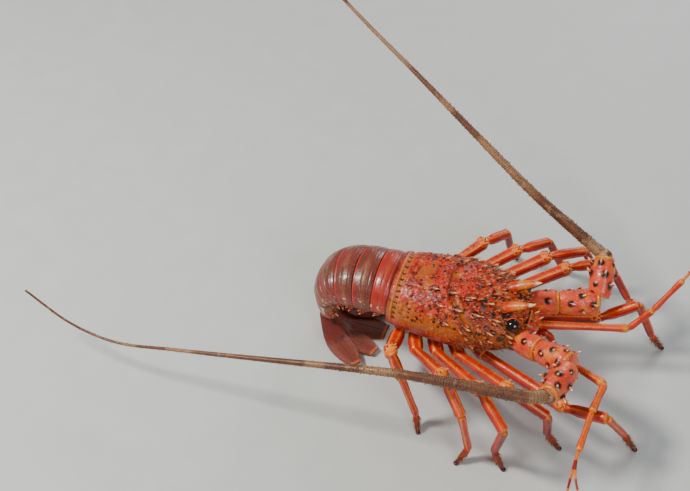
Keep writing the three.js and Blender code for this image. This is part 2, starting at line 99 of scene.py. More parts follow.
def unit(v):
    v = np.asarray(v, float)
    return v / np.maximum(np.linalg.norm(v, axis=-1, keepdims=True), 1e-9)


def mirrored(place, sign):
    return np.array([place[0], sign * place[1], place[2]])


def bell(distance, width):
    return np.exp(-(distance / width) ** 2)


def step(low, high, value):
    t = np.clip((value - low) / (high - low), 0, 1)
    return t * t * (3 - 2 * t)


def strongest(*layers):
    total = layers[0]
    for layer in layers[1:]:
        total = np.maximum(total, layer)
    return total


# Smooth noise from -1 to 1 with about one lump per size
def lumps(points, size, seed=0):
    q = points / size + seed * 7.3
    cell = np.floor(q)
    f = q - cell
    f = f * f * (3 - 2 * f)
    total = np.zeros(points.shape[:-1])
    for corner in np.ndindex(2, 2, 2):
        h = np.sin((cell + corner) @ np.array([12.9898, 78.233, 37.719])) * 4375.5453
        weight = np.prod(np.where(np.array(corner) == 1, f, 1 - f), axis=-1)
        total += weight * (h - np.floor(h))
    return 2 * total - 1


# Shapes: dictionaries of points, faces, a UV for each corner and masks for each point

bakeMap = {"sheet": 0.9, "capRadius": 0.02, "firstCap": (0.95, 0.25), "lastCap": (0.95, 0.75)}


# Skin over rings of points, closed at both ends by triangles round a hub
def loft(rings, masks=None):
    n, m = rings.shape[:2]
    index = np.arange(n * m).reshape(n, m)
    after = np.roll(index, -1, axis=1)
    quads = np.stack([index[:-1], after[:-1], after[1:], index[1:]], -1).reshape(-1, 4)
    u, v = np.meshgrid(np.arange(m) / m, np.arange(n - 1) / (n - 1))
    du = 1 / m
    dv = 1 / (n - 1)
    corners = [(u, v), (u + du, v), (u + du, v + dv), (u, v + dv)]
    quadUv = np.stack([np.stack(c, -1) for c in corners], 2).reshape(-1, 2) * bakeMap["sheet"]
    hubs = np.stack([rings[0].mean(0), rings[-1].mean(0)])
    first = np.stack([np.full(m, n * m), after[0], index[0]], -1)
    last = np.stack([np.full(m, n * m + 1), index[-1], after[-1]], -1)
    turn = 2 * np.pi * np.arange(m + 1) / m
    rim = np.stack([np.cos(turn), np.sin(turn)], -1) * bakeMap["capRadius"]
    capUv = []
    for cap, ahead, behind in (("firstCap", rim[1:], rim[:-1]), ("lastCap", rim[:-1], rim[1:])):
        middle = bakeMap[cap]
        for a, b in zip(ahead, behind):
            capUv += [middle, a + middle, b + middle]
    points = np.concatenate([rings.reshape(-1, 3), hubs])
    flat = {}
    for name in maskNames:
        value = np.broadcast_to((masks or {}).get(name, 0.0), (n, m))
        flat[name] = np.concatenate([value.ravel(), [value[0].mean(), value[-1].mean()]])
    shape = {"points": points, "quads": quads, "tris": np.concatenate([first, last]),
             "quadUv": quadUv, "triUv": np.array(capUv, float), "masks": flat}
    a, b, c, d = (points[quads[:, k]] for k in range(4))
    volume = np.sum(a * np.cross(b, c)) + np.sum(a * np.cross(c, d))
    if volume < 0:
        shape["quads"] = quads[:, ::-1]
        shape["quadUv"] = quadUv.reshape(-1, 4, 2)[:, ::-1].reshape(-1, 2)
        shape["tris"] = shape["tris"][:, ::-1]
        shape["triUv"] = shape["triUv"].reshape(-1, 3, 2)[:, ::-1].reshape(-1, 2)
    return shape


def merged(shapes):
    counts = np.cumsum([0] + [len(s["points"]) for s in shapes])
    return {
        "points": np.concatenate([s["points"] for s in shapes]),
        "quads": np.concatenate([s["quads"] + c for s, c in zip(shapes, counts)]),
        "tris": np.concatenate([s["tris"] + c for s, c in zip(shapes, counts)]),
        "quadUv": np.concatenate([s["quadUv"] for s in shapes]),
        "triUv": np.concatenate([s["triUv"] for s in shapes]),
        "masks": {k: np.concatenate([s["masks"][k] for s in shapes]) for k in maskNames},
    }


# Rings round a path; wide is the half size along the hinge and high across it
def ringsAlong(path, wide, high, hinge, count, power=1.0):
    way = unit(np.gradient(path, axis=0))
    side = unit(hinge - way * (way @ hinge)[:, None])
    over = np.cross(way, side)
    over = over * np.where(over.mean(0)[2] < 0, -1, 1)
    a = 2 * np.pi * np.arange(count) / count
    c = np.sign(np.cos(a)) * np.abs(np.cos(a)) ** power
    s = np.sign(np.sin(a)) * np.abs(np.sin(a)) ** power
    across = (np.asarray(wide)[:, None] * c)[..., None] * side[:, None]
    upright = (np.asarray(high)[:, None] * s)[..., None] * over[:, None]
    return path[:, None] + across + upright, over


spikeFrom = np.array([-0.25, 0, 0.12, 0.35, 0.6, 0.82, 0.95, 1.0])
spikeWidth = np.array([1.35, 1.2, 0.95, 0.72, 0.48, 0.25, 0.12, 0.03])


# Spine with a broad foot that bends towards a direction
def spike(place, way, length, radius, bend=None, ring=0.8):
    way = unit(way)
    f = spikeFrom
    width = radius * spikeWidth
    path = place + way * (f * length)[:, None]
    if bend is not None:
        path = path + np.asarray(bend) * (np.maximum(f, 0) ** 2 * length)[:, None]
    hinge = unit(np.cross(way, up if abs(way[2]) < 0.9 else sideways))
    rings = ringsAlong(path, width, width, hinge, 9)[0]
    f = f[:, None]
    return loft(rings, {"tip": step(0.5, 0.75, f), "darkAndShade": bell(f - 0.1, 0.25) * ring,
                        "accentAndHighlight": bell(f - 0.45, 0.2) * 0.6})


def placePiece(name, mesh, nodes=()):
    piece = bpy.data.objects.new(name, mesh)
    scene.collection.objects.link(piece)
    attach(piece, "root")
    if nodes:
        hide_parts(*nodes)
    return piece


def addPiece(name, shape, material, nodes=()):
    mesh = bpy.data.meshes.new(name)
    points = (shape["points"] + shift) / 1000
    mesh.from_pydata(points.tolist(), [], shape["quads"].tolist() + shape["tris"].tolist())
    mesh.polygons.foreach_set("use_smooth", np.ones(len(mesh.polygons), bool))
    layer = mesh.uv_layers.new(name="OFBake")
    layer.data.foreach_set("uv", np.concatenate([shape["quadUv"], shape["triUv"]]).ravel())
    for key in maskNames:
        attribute = mesh.attributes.new(key, "FLOAT", "POINT")
        attribute.data.foreach_set("value", np.clip(shape["masks"][key], 0, 1))
    mesh.materials.append(material)
    return placePiece(name, mesh, nodes)


# Shader groups

def newGroup(name, inputs, outputs):
    tree = bpy.data.node_groups.new(name, "ShaderNodeTree")
    for label, kind, value in inputs:
        socket = tree.interface.new_socket(label, in_out="INPUT", socket_type=kind)
        if value is not None:
            socket.default_value = value
    for label, kind in outputs:
        tree.interface.new_socket(label, in_out="OUTPUT", socket_type=kind)
    return tree, tree.nodes.new("NodeGroupInput").outputs, tree.nodes.new("NodeGroupOutput")


def addNode(tree, kind, settings=None, links=None):
    node = tree.nodes.new(kind)
    for key, value in (settings or {}).items():
        if isinstance(key, str) and hasattr(node, key):
            setattr(node, key, value)
        else:
            node.inputs[key].default_value = value
    for key, socket in (links or {}).items():
        tree.links.new(socket, node.inputs[key])
    return node


def mixColour(tree, factor, first, second):
    node = tree.nodes.new("ShaderNodeMix")
    node.data_type = "RGBA"
    for socket, value in ((node.inputs[0], factor), (node.inputs[6], first), (node.inputs[7], second)):
        if isinstance(value, bpy.types.NodeSocket):
            tree.links.new(value, socket)
        else:
            socket.default_value = value
    return node.outputs[2]


# Two colours in cloudy patches
def mottleGroup():
    tree, source, target = newGroup("mottle", [
        ("Vector", "NodeSocketVector", None), ("Scale", "NodeSocketFloat", 200.0),
        ("First", "NodeSocketColor", None), ("Second", "NodeSocketColor", None),
        ("Share", "NodeSocketFloat", 0.5)], [("Color", "NodeSocketColor")])
    noise = addNode(tree, "ShaderNodeTexNoise", {"Detail": 6.0, "Roughness": 0.62},
                    {"Vector": source["Vector"], "Scale": source["Scale"]})
    ramp = addNode(tree, "ShaderNodeMapRange", {"From Min": 0.36, "From Max": 0.66},
                   {"Value": noise.outputs["Fac"]})
    amount = addNode(tree, "ShaderNodeMath", {"operation": "MULTIPLY"},
                     {0: ramp.outputs[0], 1: source["Share"]})
    out = mixColour(tree, amount.outputs[0], source["First"], source["Second"])
    tree.links.new(out, target.inputs["Color"])
    return tree


# A colour laid on where a mask says, with a ragged edge
def paintGroup():
    tree, source, target = newGroup("paint", [
        ("Vector", "NodeSocketVector", None), ("Color", "NodeSocketColor", None),
        ("Paint", "NodeSocketColor", None), ("Mask", "NodeSocketFloat", 0.0),
        ("Ragged", "NodeSocketFloat", 0.4)], [("Color", "NodeSocketColor")])
    noise = addNode(tree, "ShaderNodeTexNoise", {"Scale": 900.0, "Detail": 4.0},
                    {"Vector": source["Vector"]})
    centred = addNode(tree, "ShaderNodeMath", {"operation": "SUBTRACT", 1: 0.5},
                      {0: noise.outputs["Fac"]})
    spread = addNode(tree, "ShaderNodeMath", {"operation": "MULTIPLY"},
                     {0: centred.outputs[0], 1: source["Ragged"]})
    total = addNode(tree, "ShaderNodeMath", {"operation": "ADD"},
                    {0: spread.outputs[0], 1: source["Mask"]})
    edge = addNode(tree, "ShaderNodeMapRange", {"From Min": 0.18, "From Max": 0.72},
                   {"Value": total.outputs[0]})
    out = mixColour(tree, edge.outputs[0], source["Color"], source["Paint"])
    tree.links.new(out, target.inputs["Color"])
    return tree


# Small round specks from cells
def speckGroup():
    tree, source, target = newGroup("specks", [
        ("Vector", "NodeSocketVector", None), ("Scale", "NodeSocketFloat", 500.0),
        ("Size", "NodeSocketFloat", 0.2)], [("Mask", "NodeSocketFloat")])
    cells = addNode(tree, "ShaderNodeTexVoronoi", {"Randomness": 1.0},
                    {"Vector": source["Vector"], "Scale": source["Scale"]})
    less = addNode(tree, "ShaderNodeMath", {"operation": "SUBTRACT"},
                   {0: source["Size"], 1: cells.outputs["Distance"]})
    mask = addNode(tree, "ShaderNodeMapRange", {"From Min": 0.0, "From Max": 0.06},
                   {"Value": less.outputs[0]})
    tree.links.new(mask.outputs[0], target.inputs["Mask"])
    return tree


# Fine grain and shallow scales as a normal
def reliefGroup():
    tree, source, target = newGroup("relief", [
        ("Vector", "NodeSocketVector", None), ("Scale", "NodeSocketFloat", 700.0),
        ("Strength", "NodeSocketFloat", 0.4), ("Scales", "NodeSocketFloat", 0.0)],
        [("Normal", "NodeSocketVector")])
    noise = addNode(tree, "ShaderNodeTexNoise", {"Detail": 5.0, "Roughness": 0.6},
                    {"Vector": source["Vector"], "Scale": source["Scale"]})
    bump = addNode(tree, "ShaderNodeBump", {"Distance": 0.0006},
                   {"Height": noise.outputs["Fac"], "Strength": source["Strength"]})
    cells = addNode(tree, "ShaderNodeTexVoronoi", {"Scale": 420.0, "feature": "SMOOTH_F1"},
                    {"Vector": source["Vector"]})
    scaled = addNode(tree, "ShaderNodeBump", {"Distance": 0.0011, "invert": True},
                     {"Height": cells.outputs["Distance"], "Strength": source["Scales"],
                      "Normal": bump.outputs["Normal"]})
    tree.links.new(scaled.outputs["Normal"], target.inputs["Normal"])
    return tree


mottle = mottleGroup()
paint = paintGroup()
specks = speckGroup()
relief = reliefGroup()


# Finishes

shellDefaults = {
    "share": 0.7, "mottleScale": 180.0, "speckScale": 420.0, "speckSize": 0.16,
    "pitScale": 460.0, "pitSize": 0.24, "reliefScale": 700.0, "relief": 0.35, "scales": 0.0,
    "rough": 0.38, "coat": 0.35,
}
paintLayers = {"accentAndHighlight": 0.7, "darkAndShade": 0.45, "pale": 0.45, "tip": 0.2}  # how ragged each edge is


def colour(red, green, blue):
    return tuple((c / 255) ** 2.2 for c in (red, green, blue)) + (1.0,)


def newMaterial(name):
    material = bpy.data.materials.new(name)
    material.use_nodes = True
    tree = material.node_tree
    place = tree.nodes.new("ShaderNodeTexCoord").outputs["Object"]
    return material, tree, tree.nodes["Principled BSDF"].inputs, place


def useGroup(tree, group, settings, links):
    node = tree.nodes.new("ShaderNodeGroup")
    node.node_tree = group
    for key, value in settings.items():
        node.inputs[key].default_value = value
    for key, socket in links.items():
        tree.links.new(socket, node.inputs[key])
    return node.outputs[0]


def shellMaterial(name, look):
    look = {**shellDefaults, **look}
    material, tree, surface, place = newMaterial(name)
    at = {"Vector": place}
    shade = useGroup(tree, mottle, {"Scale": look["mottleScale"], "First": colour(*look["base"]),
                                    "Second": colour(*look["second"]), "Share": look["share"]}, at)
    speck = useGroup(tree, specks, {"Scale": look["speckScale"], "Size": look["speckSize"]}, at)
    shade = mixColour(tree, speck, shade, colour(*look["speck"]))
    pit = useGroup(tree, specks, {"Scale": look["pitScale"], "Size": look["pitSize"]}, at)
    pitted = addNode(tree, "ShaderNodeAttribute", {"attribute_name": "pitted"}).outputs["Fac"]
    pitMask = addNode(tree, "ShaderNodeMath", {"operation": "MULTIPLY"}, {0: pit, 1: pitted})
    shade = mixColour(tree, pitMask.outputs[0], shade, colour(*look["darkAndShade"]))
    for key, ragged in paintLayers.items():
        mask = addNode(tree, "ShaderNodeAttribute", {"attribute_name": key})
        shade = useGroup(tree, paint, {"Paint": colour(*look[key]), "Ragged": ragged},
                         {"Vector": place, "Color": shade, "Mask": mask.outputs["Fac"]})
    normal = useGroup(tree, relief, {"Scale": look["reliefScale"], "Strength": look["relief"],
                                     "Scales": look["scales"]}, at)
    tree.links.new(shade, surface["Base Color"])
    tree.links.new(normal, surface["Normal"])
    surface["Roughness"].default_value = look["rough"]
    surface["Coat Weight"].default_value = look["coat"]
    surface["Coat Roughness"].default_value = 0.12
    return material


def cloudyMaterial(name, noise, first, second, rough, coat):
    material, tree, surface, place = newMaterial(name)
    clouds = addNode(tree, "ShaderNodeTexNoise", noise, {"Vector": place})
    shade = mixColour(tree, clouds.outputs["Fac"], colour(*first), colour(*second))
    tree.links.new(shade, surface["Base Color"])
    surface["Roughness"].default_value = rough
    surface["Coat Weight"].default_value = coat
    return material


carapaceLook = shellMaterial("shell_carapace", {
    "base": (210, 54, 0), "second": (116, 14, 2), "share": 0.85, "mottleScale": 120.0,
    "speck": (226, 106, 20), "speckScale": 380.0, "speckSize": 0.2, "pitSize": 0.31, "pitScale": 560.0,
    "accentAndHighlight": (176, 98, 16), "darkAndShade": (40, 12, 8), "pale": (206, 128, 62),
    "tip": (238, 168, 112), "rough": 0.42, "relief": 0.6, "scales": 0.5, "coat": 0.12,
})
abdomenLook = shellMaterial("shell_abdomen", {
    "base": (132, 50, 50), "second": (92, 56, 34), "share": 0.85, "mottleScale": 60.0,
    "speck": (164, 90, 66), "speckScale": 560.0, "speckSize": 0.17,
    "accentAndHighlight": (148, 104, 62), "darkAndShade": (56, 14, 20), "pale": (206, 38, 14),
    "tip": (244, 206, 160), "rough": 0.36, "coat": 0.25, "relief": 0.25,
})
fanLook = shellMaterial("shell_fan", {
    "base": (120, 44, 38), "second": (84, 40, 30), "share": 0.8, "mottleScale": 90.0,
    "speck": (160, 78, 52), "speckScale": 560.0, "speckSize": 0.15,
    "accentAndHighlight": (176, 88, 40), "darkAndShade": (52, 14, 18), "pale": (206, 96, 44),
    "tip": (226, 180, 130), "rough": 0.55, "coat": 0.0, "relief": 0.3,
})
# On legs and antennules the dark colour also paints shade on their undersides and the accent colour a
# highlight stripe along their tops, besides the shell's own dark sides and joint colours.
legLook = shellMaterial("shell_leg", {
    "base": (214, 48, 6), "second": (150, 22, 10), "mottleScale": 110.0,
    "speck": (228, 96, 20), "speckScale": 500.0, "speckSize": 0.13,
    "accentAndHighlight": (255, 140, 36), "darkAndShade": (90, 12, 26), "pale": (226, 132, 20),
    "tip": (250, 190, 100), "rough": 0.4, "relief": 0.5, "coat": 0.15, "pitSize": 0.2,
})
# The dark colour paints the black spots round the spines and also painted shade under each antenna base.
peduncleLook = shellMaterial("shell_peduncle", {
    "base": (238, 90, 54), "second": (196, 44, 20), "share": 0.8, "mottleScale": 80.0,
    "speck": (246, 150, 96), "speckSize": 0.17,
    "accentAndHighlight": (230, 132, 26), "darkAndShade": (22, 6, 10), "pale": (160, 124, 36),
    "tip": (255, 226, 190), "rough": 0.36, "relief": 0.4,
})
whipLook = shellMaterial("shell_whip", {
    "base": (116, 68, 34), "second": (76, 38, 22), "share": 0.8, "mottleScale": 160.0,
    "speck": (164, 124, 88), "speckScale": 800.0,
    "accentAndHighlight": (176, 132, 88), "darkAndShade": (70, 34, 30), "pale": (196, 158, 112),
    "tip": (206, 172, 128), "rough": 0.5, "coat": 0.25, "relief": 0.5, "reliefScale": 1600.0,
})
# The dark colour paints the dark feet of spines and also painted shade under each horn.
hornLook = shellMaterial("shell_horn", {
    "base": (216, 68, 8), "second": (146, 26, 10), "mottleScale": 150.0,
    "speck": (226, 150, 92), "speckScale": 600.0,
    "accentAndHighlight": (226, 130, 36), "darkAndShade": (58, 18, 14), "pale": (232, 176, 110),
    "tip": (244, 200, 146), "rough": 0.36, "coat": 0.2, "relief": 0.3,
})
undersideLook = shellMaterial("shell_underside", {
    "base": (196, 132, 84), "second": (172, 78, 46), "mottleScale": 110.0,
    "speck": (222, 190, 150), "speckScale": 400.0,
    "accentAndHighlight": (200, 110, 74), "darkAndShade": (120, 58, 50), "pale": (232, 204, 164),
    "tip": (240, 214, 176), "rough": 0.45, "coat": 0.3,
})
hairLook = shellMaterial("setae", {
    "base": (158, 96, 46), "second": (110, 58, 30), "share": 0.8, "mottleScale": 300.0,
    "speck": (176, 120, 72), "accentAndHighlight": (150, 90, 50), "darkAndShade": (70, 36, 28),
    "pale": (190, 140, 90), "tip": (206, 160, 106), "rough": 0.6, "coat": 0.0, "relief": 0.0,
})
eyeLook = cloudyMaterial("eye_gloss", {"Scale": 400.0}, (8, 6, 8), (34, 22, 20), 0.08, 0.6)


# Scattered spines, grains and hairs, grown with Geometry Nodes; their sizes are in metres

patchSize = 0.003  # each grown tuft's patch on the OFBake map
scatterDefaults = {
    "Spacing": 0.002, "Per Area": 200000.0, "Seed": 1, "Sides": 6, "Foot": 0.0007, "Top": 0.00008,
    "Length": 0.0022, "Lean": (0.0, 0.0, 0.0), "Spread": 0.5, "Smallest": 0.6, "Largest": 1.3,
}
hair = {"Sides": 4, "Top": 0.00004}


def scatterTree():
    tree = bpy.data.node_groups.new("scatter", "GeometryNodeTree")
    face = tree.interface
    face.new_socket("Geometry", in_out="INPUT", socket_type="NodeSocketGeometry")
    for label, kind in (("Spacing", "Float"), ("Per Area", "Float"), ("Seed", "Int"),
                        ("Sides", "Int"), ("Foot", "Float"), ("Top", "Float"), ("Length", "Float"),
                        ("Lean", "Vector"), ("Spread", "Float"), ("Smallest", "Float"),
                        ("Largest", "Float"), ("Skin", "Material")):
        face.new_socket(label, in_out="INPUT", socket_type="NodeSocket" + kind)
    face.new_socket("Geometry", in_out="OUTPUT", socket_type="NodeSocketGeometry")
    source = tree.nodes.new("NodeGroupInput").outputs
    target = tree.nodes.new("NodeGroupOutput")

    def named(label, kind):
        node = addNode(tree, "GeometryNodeInputNamedAttribute", {"data_type": kind, "Name": label})
        return node.outputs[0]

    def stored(label, kind, domain, geometry, value):
        settings = {"data_type": kind, "domain": domain, "Name": label}
        return addNode(tree, "GeometryNodeStoreNamedAttribute", settings,
                       {"Geometry": geometry, "Value": value}).outputs[0]

    def vector(operation, first, second, key=1):
        links = {0: first}
        settings = {"operation": operation}
        if isinstance(second, bpy.types.NodeSocket):
            links[key] = second
        else:
            settings[key] = second
        return addNode(tree, "ShaderNodeVectorMath", settings, links).outputs[0]

    points = addNode(tree, "GeometryNodeDistributePointsOnFaces", {"distribute_method": "POISSON"}, {
        "Mesh": source["Geometry"], "Distance Min": source["Spacing"],
        "Density Max": source["Per Area"], "Density Factor": named("grow", "FLOAT"),
        "Seed": source["Seed"]}).outputs
    cone = addNode(tree, "GeometryNodeMeshCone", {"Side Segments": 3, "Fill Segments": 1}, {
        "Vertices": source["Sides"], "Radius Bottom": source["Foot"], "Radius Top": source["Top"],
        "Depth": source["Length"]}).outputs
    height = addNode(tree, "ShaderNodeSeparateXYZ", None,
                     {0: tree.nodes.new("GeometryNodeInputPosition").outputs[0]})
    part = addNode(tree, "ShaderNodeMath", {"operation": "DIVIDE"},
                   {0: height.outputs[2], 1: source["Length"]})
    share = addNode(tree, "ShaderNodeMath", {"operation": "SUBTRACT", 1: 0.3}, {0: part.outputs[0]})
    tipped = stored("tip", "FLOAT", "POINT", cone["Mesh"], share.outputs[0])
    mapped = stored("local", "FLOAT2", "CORNER", tipped, cone["UV Map"])
    stray = addNode(tree, "FunctionNodeRandomValue", {"data_type": "FLOAT_VECTOR"},
                    {"Seed": source["Seed"]})
    centred = vector("SUBTRACT", stray.outputs[0], (0.5, 0.5, 0.5))
    spread = vector("SCALE", centred, source["Spread"], "Scale")
    leaning = vector("ADD", points["Normal"], source["Lean"])
    turned = addNode(tree, "FunctionNodeAlignRotationToVector", {"axis": "Z"},
                     {"Vector": vector("ADD", leaning, spread)})
    size = addNode(tree, "FunctionNodeRandomValue", {"data_type": "FLOAT"},
                   {"Min": source["Smallest"], "Max": source["Largest"], "Seed": source["Seed"]})
    sizeOut = [o for o in size.outputs if o.enabled][0]
    placed = addNode(tree, "GeometryNodeInstanceOnPoints", None, {
        "Points": points["Points"], "Instance": mapped, "Rotation": turned.outputs[0], "Scale": sizeOut})
    solid = addNode(tree, "GeometryNodeRealizeInstances", None, {"Geometry": placed.outputs[0]})
    shrunk = vector("SCALE", named("local", "FLOAT_VECTOR"), patchSize, "Scale")
    patch = vector("ADD", named("OFBake", "FLOAT_VECTOR"), shrunk)
    unwrapped = stored("OFBake", "FLOAT2", "CORNER", solid.outputs[0], patch)
    smooth = addNode(tree, "GeometryNodeSetShadeSmooth", None, {"Geometry": unwrapped})
    finished = addNode(tree, "GeometryNodeSetMaterial", None,
                       {"Geometry": smooth.outputs[0], "Material": source["Skin"]})
    tree.links.new(finished.outputs[0], target.inputs[0])
    return tree


scatter = scatterTree()


# Grows a scatter over a host where the mask grow, given for its first rings, is not zero
def addScatter(name, host, grow, look, settings):
    mesh = host.data.copy()
    dense = np.zeros(len(mesh.vertices), np.float32)
    dense[:grow.size] = np.clip(grow, 0, 1).ravel()
    mesh.attributes.new("grow", "FLOAT", "POINT").data.foreach_set("value", dense)
    for key in maskNames:
        mesh.attributes.remove(mesh.attributes[key])
    carrier = bpy.data.objects.new(name + "_carrier", mesh)
    scene.collection.objects.link(carrier)
    modifier = carrier.modifiers.new("scatter", "NODES")
    modifier.node_group = scatter
    values = {**scatterDefaults, **settings, "Skin": look}
    for item in scatter.interface.items_tree:
        if item.in_out == "INPUT" and item.name in values:
            modifier[item.identifier] = values[item.name]
    grown = carrier.evaluated_get(bpy.context.evaluated_depsgraph_get())
    result = bpy.data.meshes.new_from_object(grown)
    bpy.data.objects.remove(carrier)
    result.name = name
    for key in ("local", "grow"):
        if key in result.attributes:
            result.attributes.remove(result.attributes[key])
    print(name, len(result.polygons), "faces")
    return placePiece(name, result)


# Carapace

eye = {
    "place": (83, 17.5, 66),
    "radius": 4.7,
    "look": (0.45, 0.8, 0.4),  # the way the left eye looks
    "cuff": [[0, 3.2], [0.5, 3.6], [0.85, 4.85], [1, 4.6]],  # half width along the stalk's end
}
carapace = {
    "length": 90,
    "halfWidth": [[0, 27], [15, 30], [45, 32.5], [68, 29], [82, 24], [90, 19]],
    "top": [[0, 75], [15, 77.5], [45, 80], [68, 76], [82, 70], [90, 62]],
    "bottom": [[0, 36], [45, 36], [68, 37], [82, 41], [90, 46]],
    "widest": [[0, 54], [45, 55], [90, 54.5]],
    "middle": (45, 0, 55),
    "rows": 170,
    "around": 330,
    "grooveOnRidge": 36,  # where the neck groove crosses the ridge of the back
    "grooveSweep": 30,  # how far forward it runs down to the sides
    "darkSpots": 260,
    "paleGrains": 150,
    "spineRows": [(66, [28, 40, 52, 64]), (46, [34, 46, 58, 70, 80]), (24, [40, 54, 68, 80])],
    "spineRadius": 1.7,
    "spinules": {"Spacing": 0.0028, "Per Area": 90000.0, "Foot": 0.00078, "Length": 0.0021,
                 "Lean": (0.95, 0.0, 0.0), "Spread": 0.4, "Smallest": 0.4, "Largest": 1.1},
    "thorns": {"Spacing": 0.0042, "Per Area": 60000.0, "Foot": 0.0011, "Length": 0.0034, "Sides": 8,
               "Lean": (1.1, 0.0, 0.1), "Spread": 0.4, "Smallest": 0.5, "Largest": 1.15, "Seed": 9},
    "setae": {**hair, "Spacing": 0.0008, "Per Area": 600000.0, "Seed": 5, "Foot": 0.00017,
              "Length": 0.0036, "Lean": (1.3, 0.0, 0.2), "Spread": 1.1},
}


def carapaceSkin(x, angle):
    half = through(carapace["halfWidth"], x)
    middle = through(carapace["widest"], x)
    c = np.cos(angle)
    s = np.sin(angle)
    above = through(carapace["top"], x) - middle
    below = middle - through(carapace["bottom"], x)
    reach = np.where(s > 0, above, below)
    power = np.where(s > 0, 0.95, 0.65)
    y = half * np.sign(c) * np.abs(c) ** 0.9
    z = middle + reach * np.sign(s) * np.abs(s) ** power
    return np.stack([x * np.ones_like(c), y, z], -1)


def carapaceSpines():
    spines = []
    for sign in (1, -1):
        for angle, places in carapace["spineRows"]:
            for x in places:
                turn = math.radians(angle if sign > 0 else 180 - angle)
                place = carapaceSkin(np.array(float(x)), np.array(turn))
                lean = np.array([1.1, math.cos(turn), math.sin(turn)])
                spines.append((place, lean, 3.2 + x * 0.035))
    return spines


# A place on the back at random, between two values of x and clear of the sides by a margin
def randomPlace(rear, front, margin):
    x = rng.uniform(rear, front)
    return carapaceSkin(np.array(x), np.array(rng.uniform(margin, np.pi - margin)))


